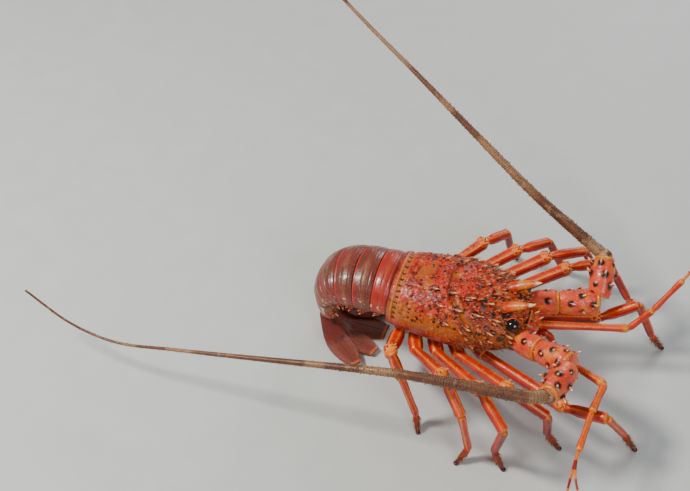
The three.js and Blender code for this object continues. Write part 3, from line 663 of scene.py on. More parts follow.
def buildCarapace():
    places = np.linspace(0, carapace["length"], carapace["rows"])
    turns = 2 * np.pi * np.arange(carapace["around"]) / carapace["around"]
    x, angle = np.meshgrid(places, turns, indexing="ij")
    skin = carapaceSkin(x, angle)
    alongWay = np.gradient(skin, axis=0)
    around = np.roll(skin, -1, axis=1) - np.roll(skin, 1, axis=1)
    outward = unit(np.cross(around, alongWay))
    outward *= np.sign(np.sum(outward * (skin - carapace["middle"]), -1, keepdims=True))
    t = np.abs(angle - np.pi / 2) / (np.pi / 2)
    t = np.where(t > 2, 4 - t, t)  # 0 on the ridge, 1 where it is widest, 2 underneath
    back = 1 - step(0.95, 1.15, t)
    groove = carapace["grooveOnRidge"] + carapace["grooveSweep"] * np.minimum(t, 1) ** 1.5
    clutter = step(48, 60, x) * back  # the spiny front part

    # The neck groove, the groove and lip of the rear edge, the long seams and the rear edge's dashes
    height = -1.7 * bell(x - groove - lumps(skin, 9, 1) * 0.8, 2.1) * back
    height += 0.5 * bell(x - groove - 4.5, 2.5) * back
    height += -0.9 * bell(x - 5.2, 1.2) * back + 0.55 * bell(x - 2.0, 1.6) * back
    height += -0.45 * bell(t * 90 - 26, 1.6) * (x < groove) * back * step(6, 12, x)
    dashes = bell(x - 5.4, 1.7) * step(0.6, 0.95, np.cos(angle * 36) * 0.5 + 0.5) * back
    height -= 0.5 * dashes
    height += 0.6 * lumps(skin, 4.2, 2) * step(26, 50, x) * back
    height += 0.45 * lumps(skin, 2.2, 14) * step(48, 60, x) * back
    height += 0.18 * lumps(skin, 1.8, 3) * step(8, 14, x)

    darkAndShade = 0.9 * dashes
    pale = 0.75 * bell(x - 3.0, 0.55) * back
    for _ in range(carapace["darkSpots"]):
        place = randomPlace(13, 76, 0.12)
        near = bell(np.linalg.norm(skin - place, axis=-1), rng.uniform(0.55, 1.15))
        darkAndShade = np.maximum(darkAndShade, near * 1.05)
        height -= 0.28 * near
    for _ in range(carapace["paleGrains"]):
        place = randomPlace(12, 86, 0.05)
        near = bell(np.linalg.norm(skin - place, axis=-1), rng.uniform(0.7, 1.5))
        height += 0.55 * near
        pale = np.maximum(pale, 0.8 * near * rng.uniform(0.2, 1.0))
    for place, _, _ in carapaceSpines():
        near = np.linalg.norm(skin - place, axis=-1)
        height += 1.0 * bell(near, 2.4)
        darkAndShade = np.maximum(darkAndShade, 0.62 * bell(near - 2.6, 0.8))
    for sign in (1, -1):
        away = np.linalg.norm(skin - mirrored(eye["place"], sign), axis=-1)
        height -= 2.6 * bell(away, 5.4)
        darkAndShade = np.maximum(darkAndShade, 0.5 * bell(away - 5.6, 1.2))
    height *= 1 - 0.8 * step(1.1, 1.4, t)

    band = bell(x - 11.5, 5.0) * step(7.2, 8.4, x) * back  # freckled, along the rear groove
    darkAndShade = strongest(
        darkAndShade,
        0.5 * band * step(0.0, 0.3, lumps(skin, 1.5, 5)),
        0.45 * step(1.0, 1.12, t) * (1 - step(1.25, 1.4, t)),
        0.35 * (1 - step(1.4, 2.2, x)) * back,
        0.75 * clutter * step(0.0, 0.35, lumps(skin, 3.4, 12)),
        0.5 * bell(x - groove, 1.6) * back)
    pale = strongest(
        pale,
        0.5 * band * step(0.2, 0.5, lumps(skin, 1.5, 6)),
        0.5 * bell(x - 7.4, 0.4) * back,
        0.5 * clutter * step(0.35, 0.6, lumps(skin, 2.6, 13)))
    accentAndHighlight = strongest(
        0.62 * bell(x - groove - 2, 5.5) * step(0.15, 0.5, t) * back,
        0.58 * step(0.5, 0.85, t + 0.1 * lumps(skin, 7, 15)) * (1 - step(0.98, 1.05, t)),
        0.6 * step(3.4, 3.9, x) * (1 - step(6.9, 7.4, x)) * back,
        0.5 * step(0.15, 0.55, lumps(skin, 7.5, 16)) * back * step(12, 16, x),
        0.5 * step(56, 76, x) * (0.6 + 0.6 * lumps(skin, 6, 8)),
        0.7 * step(1.25, 1.5, t))
    pitted = back * step(9, 13, x) * (0.9 - 0.5 * step(48, 62, x))

    shape = loft(skin + outward * height[..., None],
                 {"darkAndShade": darkAndShade, "accentAndHighlight": accentAndHighlight, "pale": pale, "pitted": pitted})
    piece = addPiece("shell_carapace", shape, carapaceLook, ["carapace"])
    spines = [spike(place - unit(lean) * 0.4, lean, length, carapace["spineRadius"], (0.25, 0, 0.05))
              for place, lean, length in carapaceSpines()]
    addPiece("spines_carapace", merged(spines), carapaceLook)
    grow = back * step(8, 14, x) * (0.35 + 0.65 * step(20, 60, x))
    addScatter("spinules_carapace", piece, grow, carapaceLook, carapace["spinules"])
    grow = back * step(44, 60, x)
    addScatter("thorns_carapace", piece, grow, hornLook, carapace["thorns"])
    flanks = (0.35 + step(0.4, 0.7, t)) * (1 - step(1.1, 1.3, t)) * step(46, 62, x)
    grow = np.maximum(flanks, 0.8 * bell(x - groove, 1.5) * back)
    addScatter("setae_carapace", piece, grow, hairLook, carapace["setae"])


buildCarapace()
print("carapace built")


# Head: horns, eyes and mouth limbs on each side, then the sternum and the front plate

horn = {
    "rows": [(70, 8.8, 66, 4.6), (74, 9, 70, 4.4), (77, 9.2, 72.5, 4.2), (82, 9.6, 76, 3.5),
             (87, 9.9, 78.8, 2.5), (91, 10, 81, 1.4), (94, 9.8, 83, 0.35)],  # x, y, z and radius
    "flatness": 0.9,
}
mouthLimb = {
    "rows": [(76, 5.5, 32, 3), (84, 6.5, 33, 3.4), (96, 7.5, 36, 3.2), (104, 7.5, 38, 2.6),
             (109, 6.5, 33, 2.2), (106, 6, 26, 1.4)],  # x, y, z and radius
    "joints": (0.3, 0.68, 0.84),
    "setae": {**hair, "Spacing": 0.0007, "Per Area": 700000.0, "Seed": 7, "Foot": 0.00016,
              "Length": 0.004, "Lean": (0.6, 0, -0.5), "Spread": 0.8},
}
sternum = {
    "halfWidth": [[2, 19], [8, 20], [33, 16.5], [59, 9.5], [74, 5]],
    "outline": [(1, 35.6), (1, 30), (0.75, 26), (0, 24.5), (-0.75, 26), (-1, 30), (-1, 35.6)],
    "seams": (14, 26.5, 39.5, 52.5, 66),
    "rows": 90,
    "around": 43,
}
frontPlate = {
    "rear": 90,
    "length": 7.4,
    "halfWidth": [[0, 9], [0.5, 8.2], [1, 5.4]],
    "low": 46.5,
    "high": [[0, 60], [0.5, 58], [1, 53.5]],
    "spines": ((3.4, 93, 58), (-3.4, 93, 58), (2.6, 96.4, 54.5), (-2.6, 96.4, 54.5)),  # y, x, z
}


def buildHorn(side, sign):
    f, rows = pathThrough(np.array(horn["rows"]) * [1, sign, 1, 1], 46)
    middle = rows[:, None, :3]
    rings = ringsAlong(rows[:, :3], rows[:, 3], rows[:, 3] * horn["flatness"], sideways, 30)[0]
    rings += (lumps(rings, 2.2, 4) * 0.14)[..., None] * unit(rings - middle)
    # Faces turned downwards: the dark mask there, over the root part of the horn, is painted shade.
    lower = unit(rings - middle) @ up < -0.1
    f = f[:, None]
    masks = {"tip": step(0.78, 0.95, f), "darkAndShade": 0.6 * lower * (f < 0.6),
             "accentAndHighlight": 0.6 * bell(f - 0.62, 0.2), "pale": 0.5 * (lumps(rings, 1.4, 7) > 0.5)}
    addPiece(f"shell_horn_{side}", loft(rings, masks), hornLook, [f"horn_{side}"])


def buildEye(side, sign):
    middle = mirrored(eye["place"], sign)
    way = unit(mirrored(eye["look"], sign))
    polar = np.linspace(0.02, np.pi - 0.02, 26)
    path = middle + way * (-np.cos(polar) * eye["radius"])[:, None]
    size = eye["radius"] * np.sin(polar)
    globe = loft(ringsAlong(path, size, size, up, 36)[0])
    addPiece(f"globe_{side}", globe, eyeLook, [f"eye_{side}"])
    f = np.linspace(0, 1, 14)[:, None]
    path = middle - way * (6.2 - 5.2 * f)
    cuff = through(eye["cuff"], f[:, 0])
    rings = ringsAlong(path, cuff, cuff, up, 30)[0]
    masks = {"accentAndHighlight": 0.6 * bell(f - 0.7, 0.3), "darkAndShade": 0.4 * bell(f - 0.3, 0.2)}
    addPiece(f"stalk_{side}", loft(rings, masks), peduncleLook)


def buildMouthLimb(side, sign):
    f, rows = pathThrough(np.array(mouthLimb["rows"]) * [1, sign, 1, 1], 60)
    joint = sum(bell(f - j, 0.02) for j in mouthLimb["joints"])
    size = rows[:, 3] * (1 - 0.22 * joint)
    rings = ringsAlong(rows[:, :3], size, size, sideways, 22)[0]
    masks = {"accentAndHighlight": 0.5 * joint[:, None], "darkAndShade": 0.5 * (lumps(rings, 5, 2) > 0.3)}
    limb = addPiece(f"shell_maxilliped_{side}", loft(rings, masks), legLook, [f"maxilliped_{side}"])
    inner = (rings[..., 1] * sign < rows[:, None, 1] * sign) * step(0.2, 0.3, f)[:, None]
    addScatter(f"setae_maxilliped_{side}", limb, inner, hairLook, mouthLimb["setae"])


def buildSternum():
    rows = sternum["rows"]
    count = sternum["around"]
    places = np.linspace(2, 74, rows)
    corners = range(len(sternum["outline"]))
    place = np.linspace(0, corners[-1], count)
    across = np.interp(place, corners, [c[0] for c in sternum["outline"]])
    height = np.interp(place, corners, [c[1] for c in sternum["outline"]])
    half = through(sternum["halfWidth"], places)
    rings = np.stack([np.repeat(places[:, None], count, 1), half[:, None] * across,
                      np.repeat(height[None], rows, 0)], -1)
    seams = sum(bell(places - s, 0.8) for s in sternum["seams"])[:, None]
    below = (height < 31)[None]
    rings[..., 2] += 0.7 * seams * below
    rings[..., 2] += 0.4 * bell(across, 0.1)[None] * below
    ends = ((1 - step(2, 7, places)) + step(71, 74, places))[:, None]
    rings[..., 1] *= 1 - 0.22 * ends
    rings[..., 2] += 3.2 * ends ** 2 * (1 - step(26, 33, height))[None]
    masks = {"darkAndShade": 0.5 * seams * below, "accentAndHighlight": 0.4 * (lumps(rings, 6, 3) > 0.2)}
    addPiece("shell_sternum", loft(rings, masks), undersideLook, ["sternum"])


def buildFront():
    f = np.linspace(0, 1, 30)
    spans = through(frontPlate["halfWidth"], f)
    lows = frontPlate["low"] + 0.5 * f
    highs = through(frontPlate["high"], f)
    middle = np.stack([frontPlate["rear"] + frontPlate["length"] * f, 0 * f, (lows + highs) / 2], -1)
    rings = ringsAlong(middle, spans, (highs - lows) / 2, sideways, 40, 0.6)[0]
    rings += (lumps(rings, 3, 4) * 0.2)[..., None] * unit(rings - middle[:, None])
    masks = {"accentAndHighlight": 0.5 * (lumps(rings, 4, 5) > 0), "darkAndShade": 0.5 * (lumps(rings, 3, 9) > 0.4),
             "pale": 0.4 * (lumps(rings, 2, 3) > 0.4)}
    addPiece("shell_front", loft(rings, masks), peduncleLook, ["antennular_plate"])
    spines = [spike(np.array([x, y, z]), (0.9, y * 0.08, 0.8), 4.6, 1.2, (0.1, 0, 0.2))
              for y, x, z in frontPlate["spines"]]
    addPiece("spines_front", merged(spines), hornLook)


for side, sign in sides.items():
    buildHorn(side, sign)
    buildEye(side, sign)
    buildMouthLimb(side, sign)
buildSternum()
buildFront()
print("head built")


# Antennae: each segment has an azimuth, a rise and a length, and the whip runs on through its knots

antennae = {
    "left": {
        "base": (87, 17, 53),
        "segments": [(17, 4, 20), (17, 4, 27), (98, 42, 28)],
        "whip": [(120, 59, 78), (74, 76, 96), (23, 99, 118), (-27, 122, 140), (-78, 146, 161),
                 (-126, 168, 184), (-170, 186, 210), (-208, 200, 240)],
    },
    "right": {
        "base": (87, -17, 53),
        "segments": [(-30, 20, 20), (-30, 20, 26), (-107, 5, 28)],
        "whip": [(105, -76, 76), (60, -82, 76), (27, -85, 74), (-9, -88, 68), (-70, -92, 55),
                 (-124, -94, 42), (-172, -95, 31), (-208, -92, 33), (-243, -87, 48)],
    },
}
peduncle = [
    {"part": "base", "inset": 0.3, "past": 0.4, "spines": [(0.6, (55, 115))],
     "profile": [[0, 6.4], [0.06, 7.2], [0.3, 8.6], [0.85, 8.9], [0.93, 8.1], [0.96, 8.6], [1, 7.6]]},
    {"part": "middle", "inset": 0.3, "past": 0.4,
     "spines": [(0.28, (40, 120)), (0.54, (5, 75, 150)), (0.82, (35, 100, 165))],
     "profile": [[0, 6.6], [0.05, 7.8], [0.2, 8.8], [0.7, 9.3], [0.86, 9.0], [0.92, 8.1],
                 [0.96, 8.5], [1, 7.4]]},
    {"part": "end", "inset": 3, "past": 3,
     "spines": [(0.3, (50, 120)), (0.56, (10, 85, 160)), (0.82, (40, 110, 180))],
     "profile": [[0, 6.4], [0.06, 7.8], [0.2, 8.8], [0.6, 9.0], [0.84, 8.0], [0.92, 6.8],
                 [0.96, 7.2], [1, 6]]},
]
peduncleSpinules = {"Spacing": 0.0022, "Per Area": 90000.0, "Foot": 0.00055, "Length": 0.0015}
whip = {
    "tipRadius": 0.8,
    "rootGain": 3.5,
    "taper": 1.9,
    "ringlet": 1.7,  # length of one ring of the lash
    "rowEvery": 0.42,
    "ballRadius": 5.0,
    "spinules": {"Per Area": 300000.0, "Sides": 4, "Top": 0.00005, "Spread": 0.3, "Seed": 11,
                 "Smallest": 0.6, "Largest": 1.2},
}
whipParts = {
    "inner": {"from": 0.0, "to": 0.4, "around": 18,
              "spinules": {"Spacing": 0.0013, "Foot": 0.0004, "Length": 0.0012}},
    "outer": {"from": 0.4, "to": 1.0, "around": 12,
              "spinules": {"Spacing": 0.0014, "Foot": 0.00026, "Length": 0.0008}},
}


def jointsOf(limb):
    joints = [np.array(limb["base"], float)]
    for azimuth, rise, length in limb["segments"]:
        joints.append(joints[-1] + heading(azimuth, rise) * length)
    return joints


def peduncleEnds(side, index):
    joints = jointsOf(antennae[side])
    way = unit(joints[index + 1] - joints[index])
    return joints[index] + way * peduncle[index]["inset"], joints[index + 1] + way * peduncle[index]["past"]


def buildPeduncle(side, index):
    data = peduncle[index]
    start, stop = peduncleEnds(side, index)
    f = np.linspace(0, 1, 70)
    path = start + (stop - start) * f[:, None]
    way = unit(stop - start)
    wide = through(data["profile"], f)
    rings = ringsAlong(path, wide, wide * 0.89, up, 64)[0]
    out = unit(rings - path[:, None])
    top = unit(up - way * way[2])
    level = np.cross(way, top)
    darkAndShade = np.zeros(rings.shape[:2])
    height = 0.22 * lumps(rings, 3.2, index) + 0.1 * lumps(rings, 1.3, 3)
    spines = []
    for row, (share, turns) in enumerate(data["spines"]):
        for turn in turns:
            a = math.radians(turn)
            radial = level * math.cos(a) + top * math.sin(a)
            radius = np.interp(share, f, wide) * (1 - 0.1 * abs(math.sin(a)))
            place = start + (stop - start) * share + radial * radius
            near = np.linalg.norm(rings - place, axis=-1)
            size = 1.0 + 0.22 * ((row + turn) % 3)
            darkAndShade = np.maximum(darkAndShade, 1.3 * bell(near, 1.9 * size))
            height += 0.7 * bell(near, 1.6)
            spines.append(spike(place - radial * 0.3, radial + way * 0.75, 2.9 * size, size,
                                way * 0.15, 0.9))
    f = f[:, None]
    # Painted shade: the dark mask darkens the underside of each antenna base.
    low = step(0.2, 0.7, -(out @ top))
    darkAndShade = np.maximum(darkAndShade, 0.42 * low * (0.6 + 0.5 * lumps(rings, 4, 6)))
    accentAndHighlight = strongest(0.9 * bell(f - 0.96, 0.035), 0.5 * bell(f - 0.02, 0.04),
                       0.55 * step(0.15, 0.5, lumps(rings, 4.5, 21 + index)))
    rings = rings + out * (height * step(0, 0.08, f))[..., None]
    shape = loft(rings, {"darkAndShade": darkAndShade, "accentAndHighlight": accentAndHighlight, "pale": 0.75 * bell(f - 0.92, 0.02)})
    name = f"antenna_{side}_{data['part']}"
    piece = addPiece(f"shell_{name}", shape, peduncleLook, [name])
    addPiece(f"spines_{name}", merged(spines), peduncleLook)
    grow = np.maximum(0.25 * (out @ top > 0.1), bell(f - 0.9, 0.06))
    addScatter(f"spinules_{name}", piece, grow, peduncleLook,
               {**peduncleSpinules, "Lean": tuple(way * 0.8), "Seed": index + 3})


# Points along the whip and their distances from its start, on a centripetal spline
def whipCurve(side):
    end = peduncleEnds(side, 2)[1]
    knots = np.array([end] + list(antennae[side]["whip"]), float)
    knots = np.concatenate([[2 * knots[0] - knots[1]], knots, [2 * knots[-1] - knots[-2]]])
    times = np.concatenate([[0], np.cumsum(np.linalg.norm(np.diff(knots, axis=0), axis=1) ** 0.5)])
    dense = []
    for k in range(1, len(knots) - 2):
        t0, t1, t2, t3 = times[k - 1:k + 3]
        t = np.linspace(t1, t2, 80, endpoint=False)[:, None]
        p0, p1, p2, p3 = knots[k - 1:k + 3]
        a1 = (t1 - t) / (t1 - t0) * p0 + (t - t0) / (t1 - t0) * p1
        a2 = (t2 - t) / (t2 - t1) * p1 + (t - t1) / (t2 - t1) * p2
        a3 = (t3 - t) / (t3 - t2) * p2 + (t - t2) / (t3 - t2) * p3
        b1 = (t2 - t) / (t2 - t0) * a1 + (t - t0) / (t2 - t0) * a2
        b2 = (t3 - t) / (t3 - t1) * a2 + (t - t1) / (t3 - t1) * a3
        dense.append((t2 - t) / (t2 - t1) * b1 + (t - t1) / (t2 - t1) * b2)
    dense = np.concatenate(dense + [knots[-2][None]])
    place = np.concatenate([[0], np.cumsum(np.linalg.norm(np.diff(dense, axis=0), axis=1))])
    return dense, place


def buildWhip(side):
    dense, place = whipCurve(side)
    total = place[-1]
    polar = np.linspace(0.03, np.pi - 0.03, 20)
    joint = dense[0] - np.cos(polar)[:, None] * unit(dense[60] - dense[0]) * whip["ballRadius"]
    size = whip["ballRadius"] * np.sin(polar)
    rings = ringsAlong(joint, size, size, up, 32)[0]
    shape = loft(rings, {"accentAndHighlight": 0.6 * (lumps(rings, 3, 2) > 0)})
    addPiece(f"shell_whip_root_{side}", shape, whipLook)
    for part, data in whipParts.items():
        rows = int((data["to"] - data["from"]) * total / whip["rowEvery"])
        f = np.linspace(data["from"], data["to"], rows)
        path = np.stack([np.interp(f * total, place, dense[:, k]) for k in range(3)], -1)
        ripple = np.abs(np.sin(np.pi * (f * total / whip["ringlet"]))) ** 0.6
        radius = whip["tipRadius"] + whip["rootGain"] * (1 - f) ** whip["taper"]
        radius = radius * (0.94 + 0.08 * ripple)
        rings = ringsAlong(path, radius, radius, up, data["around"])[0]
        band = 0.5 + 0.5 * np.sin(f * total / 11 + 2 * np.sin(f * 17))
        masks = {"darkAndShade": 0.75 * (1 - ripple)[:, None], "accentAndHighlight": 0.5 * step(0.45, 0.9, band)[:, None],
                 "pale": 0.3 * (lumps(rings, 3, 2) > 0.5)}
        name = f"whip_{side}_{part}"
        piece = addPiece(f"shell_{name}", loft(rings, masks), whipLook, [name])
        grow = np.broadcast_to(step(0.3, 0.9, ripple)[:, None], rings.shape[:2])
        addScatter(f"spinules_{name}", piece, grow, whipLook,
                   {**whip["spinules"], **data["spinules"], "Lean": tuple(unit(path[-1] - path[0]))})


antennules = {
    "left": {"base": (98, 7, 45), "segments": [(17, 0, 60), (30, 50, 21), (45, 50, 28)],
             "lash": (70, 70)},
    "right": {"base": (98, -7, 45), "segments": [(-33, 14, 60), (-100, -8, 21), (-95, -8, 28)],
              "lash": (-80, -6)},
}
antennuleProfiles = [
    [[0, 2.2], [0.06, 2.9], [0.5, 2.5], [0.88, 2.7], [0.96, 3.0], [1, 2.2]],
    [[0, 1.8], [0.1, 2.4], [0.5, 2.1], [0.93, 2.5], [1, 1.8]],
    [[0, 1.6], [0.1, 2.1], [0.5, 1.8], [0.93, 2.2], [1, 1.7]],
]
lashes = ((-9, 62), (14, 48))  # turn from the lashes' azimuth, and length


def buildAntennule(side):
    joints = jointsOf(antennules[side])
    shapes = []
    for index, profile in enumerate(antennuleProfiles):
        f = np.linspace(0, 1, 50)[:, None]
        path = joints[index] + (joints[index + 1] - joints[index]) * f
        size = through(profile, f[:, 0])
        rings = ringsAlong(path, size, size, up, 20)[0]
        above = unit(rings - path[:, None]) @ up
        ends = np.maximum(bell(f - 0.97, 0.05), bell(f, 0.03))
        # The dark mask on the underside is painted shade and the accent mask along the top a painted
        # highlight; the pale ends are the joints' own colour.
        shapes.append(loft(rings, {"pale": 0.8 * ends, "darkAndShade": 0.5 * step(0.2, 0.8, -above),
                                   "accentAndHighlight": 0.5 * bell(above - 0.8, 0.25)}))
    addPiece(f"shell_antennule_{side}", merged(shapes), legLook, [f"antennule_{side}"])
    azimuth, rise = antennules[side]["lash"]
    way = unit(joints[3] - joints[2])
    shapes = []
    for turn, length in lashes:
        far = heading(azimuth + turn, rise)
        f = np.linspace(0, 1, 150)
        path = joints[3] + way * (length * f * (1 - f) + 0.3)[:, None] + far * (length * f * f)[:, None]
        size = (1 - 0.62 * f) * (0.95 + 0.08 * np.abs(np.sin(f * length * 1.6)))
        band = (np.sin(f * length * 0.5) > 0)[:, None]
        rings = ringsAlong(path, size, size, up, 10)[0]
        shapes.append(loft(rings, {"accentAndHighlight": 0.5 * band, "darkAndShade": 0.5 * (1.0 - band)}))
    addPiece(f"shell_lashes_{side}", merged(shapes), legLook, [f"antennule_{side}_lashes"])


for side in sides:
    for index in range(len(peduncle)):
        buildPeduncle(side, index)
    buildWhip(side)
    buildAntennule(side)
print("antennae built")


# Legs

hipHeight = 30
coxa = {"length": 12, "turn": 15, "rise": 5}
legPairs = {
    1: {"hip": (59, 11), "merus": 69, "carpus": 28, "propodus": 46, "dactyl": 16},
    2: {"hip": (46, 14.5), "merus": 69, "carpus": 28, "propodus": 44, "dactyl": 16},
    3: {"hip": (33, 18), "merus": 68, "carpus": 28, "propodus": 42, "dactyl": 15},
    4: {"hip": (20, 20.5), "merus": 60, "carpus": 26, "propodus": 40, "dactyl": 14},
    5: {"hip": (8, 22), "merus": 50, "carpus": 24, "propodus": 37, "dactyl": 13},
}
legPoses = {
    "left": {
        1: {"azimuth": 14, "rise": 6, "foot": (184, 54), "point": 10},
        2: {"azimuth": 35, "rise": 16, "foot": (162, 86), "point": 30},
        3: {"azimuth": 37, "rise": 17, "foot": (140, 99), "point": 40},
        4: {"azimuth": 40, "rise": 18, "foot": (107, 105), "point": 50},
        5: {"azimuth": 46, "rise": 23, "foot": (66, 106), "point": 65},
    },
    "right": {
        1: {"azimuth": 28, "rise": 9, "foot": (178, 38), "point": 5},
        2: {"azimuth": 46, "rise": 30, "foot": (131, 54), "point": 0},
        3: {"azimuth": 50, "rise": 30, "foot": (100, 82), "point": 25},
        4: {"azimuth": 55, "rise": 35, "foot": (70, 88), "point": 130},
        5: {"azimuth": 76, "rise": 48, "foot": (40, 74), "point": 60},
    },
}
# Profiles give the place along the segment, the half width and the half height
legSegments = {
    "coxa": {"from": "hip", "to": "ischium", "rows": 24, "nodes": (), "profile": [
        [0, 3.6, 3.6], [0.1, 4.6, 4.4], [0.5, 5.1, 4.7], [0.9, 4.6, 4.4], [1, 3.6, 3.6]],
        "before": 3.2, "past": 1.5},  # drawn longer at both ends, to close the hip
    "merus": {"from": "ischium", "to": "crown", "rows": 90, "nodes": ("upper",), "profile": [
        [0, 3.0, 3.0], [0.03, 3.6, 3.7], [0.2, 3.5, 3.8], [0.6, 4.0, 4.5], [0.9, 4.35, 5.0],
        [0.965, 4.4, 5.0], [1, 3.2, 3.4]]},
    "carpus": {"from": "crown", "to": "wrist", "rows": 50, "nodes": ("lower",), "profile": [
        [0, 2.9, 3.1], [0.12, 2.8, 3.0], [0.3, 3.6, 4.0], [0.85, 3.5, 3.9], [0.95, 3.5, 3.8],
        [1, 2.6, 2.9]]},
    "propodus": {"from": "wrist", "to": "ankle", "rows": 64, "nodes": (), "profile": [
        [0, 2.0, 2.2], [0.05, 2.6, 2.9], [0.5, 2.4, 2.9], [0.93, 2.5, 2.7], [1, 1.9, 2.0]]},
}
dactyl = {
    "slope": -52,
    "profile": [[0, 1.7], [0.1, 2.2], [0.5, 1.8], [0.85, 1.6], [1, 1.5]],
    "padHeights": [1.2, 0.8, 0.4, 0.1, 0.0],  # the small flat that the toe stands on
    "padRadii": [1.62, 1.62, 1.58, 1.52, 1.4],
    "setae": {**hair, "Spacing": 0.00055, "Per Area": 1200000.0, "Foot": 0.00018, "Length": 0.0024,
              "Spread": 0.6},
}
crownSpines = {"share": 0.94, "turns": (-0.9, 0, 0.9), "length": 3.4, "radius": 1.1}
merusSpines = ((0.55, 0.3, 1.6), (0.72, -0.3, 1.8), (0.84, 0.4, 2.0), (0.985, 0.45, 2.2),
               (0.985, -0.45, 2.2), (0.98, 1.6, 2.0), (0.98, -1.6, 2.0))  # share, turn and length


def legJoints(side, pair):
    sign = sides[side]
    sizes = legPairs[pair]
    pose = legPoses[side][pair]
    hip = np.array([sizes["hip"][0], sign * sizes["hip"][1], hipHeight], float)
    ischium = hip + heading(sign * (pose["azimuth"] + coxa["turn"]), coxa["rise"]) * coxa["length"]
    crown = ischium + heading(sign * pose["azimuth"], pose["rise"]) * sizes["merus"]
    foot = np.array([pose["foot"][0], sign * pose["foot"][1], 0], float)
    ankle = foot - heading(sign * pose["point"], dactyl["slope"]) * sizes["dactyl"]
    reach = ankle - crown
    span = min(np.linalg.norm(reach), (sizes["carpus"] + sizes["propodus"]) * 0.999)
    along = (sizes["carpus"] ** 2 - sizes["propodus"] ** 2 + span ** 2) / (2 * span)
    bulge = math.sqrt(max(sizes["carpus"] ** 2 - along ** 2, 0))
    way = unit(reach)
    out = np.array([pose["foot"][0] - sizes["hip"][0], sign * (pose["foot"][1] - sizes["hip"][1]), 40])
    out = unit(out - way * (out @ way))
    wrist = crown + way * along + out * bulge
    return {"hip": hip, "ischium": ischium, "crown": crown, "wrist": wrist, "ankle": ankle, "foot": foot}


def buildSegment(side, pair, part, joints, hinge):
    data = legSegments[part]
    start = joints[data["from"]]
    stop = joints[data["to"]]
    way = unit(stop - start)
    start = start - way * data.get("before", 0)
    stop = stop + way * data.get("past", 0)
    f = np.linspace(0, 1, data["rows"])
    path = start + (stop - start) * f[:, None]
    wide = through([(place, width) for place, width, _ in data["profile"]], f)
    high = through([(place, height) for place, _, height in data["profile"]], f)
    rings, over = ringsAlong(path, wide, high, hinge, 32, 0.92)
    out = unit(rings - path[:, None])
    level = out @ over.mean(0)
    f = f[:, None]
    grooves = -0.35 * bell(level - 0.55, 0.12) - 0.3 * bell(level + 0.35, 0.12)
    height = grooves * step(0.05, 0.15, f) * (1 - step(0.85, 0.95, f))
    height += 0.14 * lumps(rings, 2.5, pair) + 0.08 * lumps(rings, 1.1, pair + 1)
    rings = rings + out * height[..., None]
    ends = np.maximum(step(0.93, 0.98, f), 1 - step(0.0, 0.05, f))
    streak = 0.62 + 0.25 * lumps(rings, 8, pair + 3)
    # Painted light on each segment: the accent along the top, where level is near 1, is a painted highlight
    # stripe, and the dark on the underside, where level is near -1, is painted shade. The dark band along
    # the upper sides and the colour at the joint ends are the shell's own.
    masks = {
        "accentAndHighlight": np.maximum(streak * bell(level - 0.86, 0.1), 0.45 * ends),
        "darkAndShade": streak * np.maximum(bell(level - 0.3, 0.2), bell(level + 0.8, 0.35)),
        "pale": 0.38 * ends,
        "pitted": 0.55,
    }
    if part == "merus":
        masks["accentAndHighlight"] = np.maximum(masks["accentAndHighlight"], 0.8 * step(0.88, 0.94, f) * (level > 0.1))
    addPiece(f"shell_{part}_{side}_{pair}", loft(rings, masks), legLook,
             [f"leg_{side}_{pair}_{node}" for node in data["nodes"]])


def buildDactyl(side, pair, joints, hinge):
    way = unit(joints["foot"] - joints["ankle"])
    f = np.linspace(0, 1, 40)
    path = joints["ankle"] + way * (f * (legPairs[pair]["dactyl"] - 1.0))[:, None]
    path[:, 2] = np.maximum(path[:, 2], 0.6)
    wide = through(dactyl["profile"], f)
    body = ringsAlong(path, wide, wide, hinge, 20)[0]
    body[..., 2] = np.maximum(body[..., 2], 0.05)
    pad = joints["foot"] + up * np.array(dactyl["padHeights"])[:, None]
    a = 2 * np.pi * np.arange(20) / 20
    ring = np.stack([np.cos(a), np.sin(a), 0 * a], -1)
    foot = pad[:, None] + ring[None] * np.array(dactyl["padRadii"])[:, None, None]
    f = f[:, None]
    shape = merged([loft(body, {"darkAndShade": 0.3 + 0.5 * f, "pale": 0.5 * bell(f, 0.08)}),
                    loft(foot, {"darkAndShade": 0.8})])
    piece = addPiece(f"shell_dactyl_{side}_{pair}", shape, legLook)
    grow = step(0.05, 0.2, f) * step(2.8, 4.0, body[..., 2])
    addScatter(f"setae_dactyl_{side}_{pair}", piece, grow, hairLook,
               {**dactyl["setae"], "Seed": pair, "Lean": tuple(way * 1.3)})


def buildLegSpines(side, pair, joints, hinge):
    merus = joints["crown"] - joints["ischium"]
    way = unit(merus)
    over = np.cross(way, hinge)
    over = over * (-1 if over[2] < 0 else 1)
    spines = []
    for turn in crownSpines["turns"]:
        out = unit(over + hinge * turn)
        place = joints["ischium"] + merus * crownSpines["share"] + out * 4.3
        spines.append(spike(place, out + way * 1.2, crownSpines["length"], crownSpines["radius"],
                            way * 0.1, 0.15))
    for share, turn, length in merusSpines:
        out = unit(over + hinge * turn)
        place = joints["ischium"] + merus * share + out * 4.1
        spines.append(spike(place, out * 0.7 + way * 1.2, length, 0.8, None, 0.1))
    addPiece(f"spines_leg_{side}_{pair}", merged(spines), legLook)


for side in sides:
    for pair in legPairs:
        joints = legJoints(side, pair)
        line = joints["foot"] - joints["hip"]
        hinge = unit([line[1], -line[0], 0])
        for part in legSegments:
            buildSegment(side, pair, part, joints, hinge)
        buildDactyl(side, pair, joints, hinge)
        buildLegSpines(side, pair, joints, hinge)
print("legs built")


# Abdomen

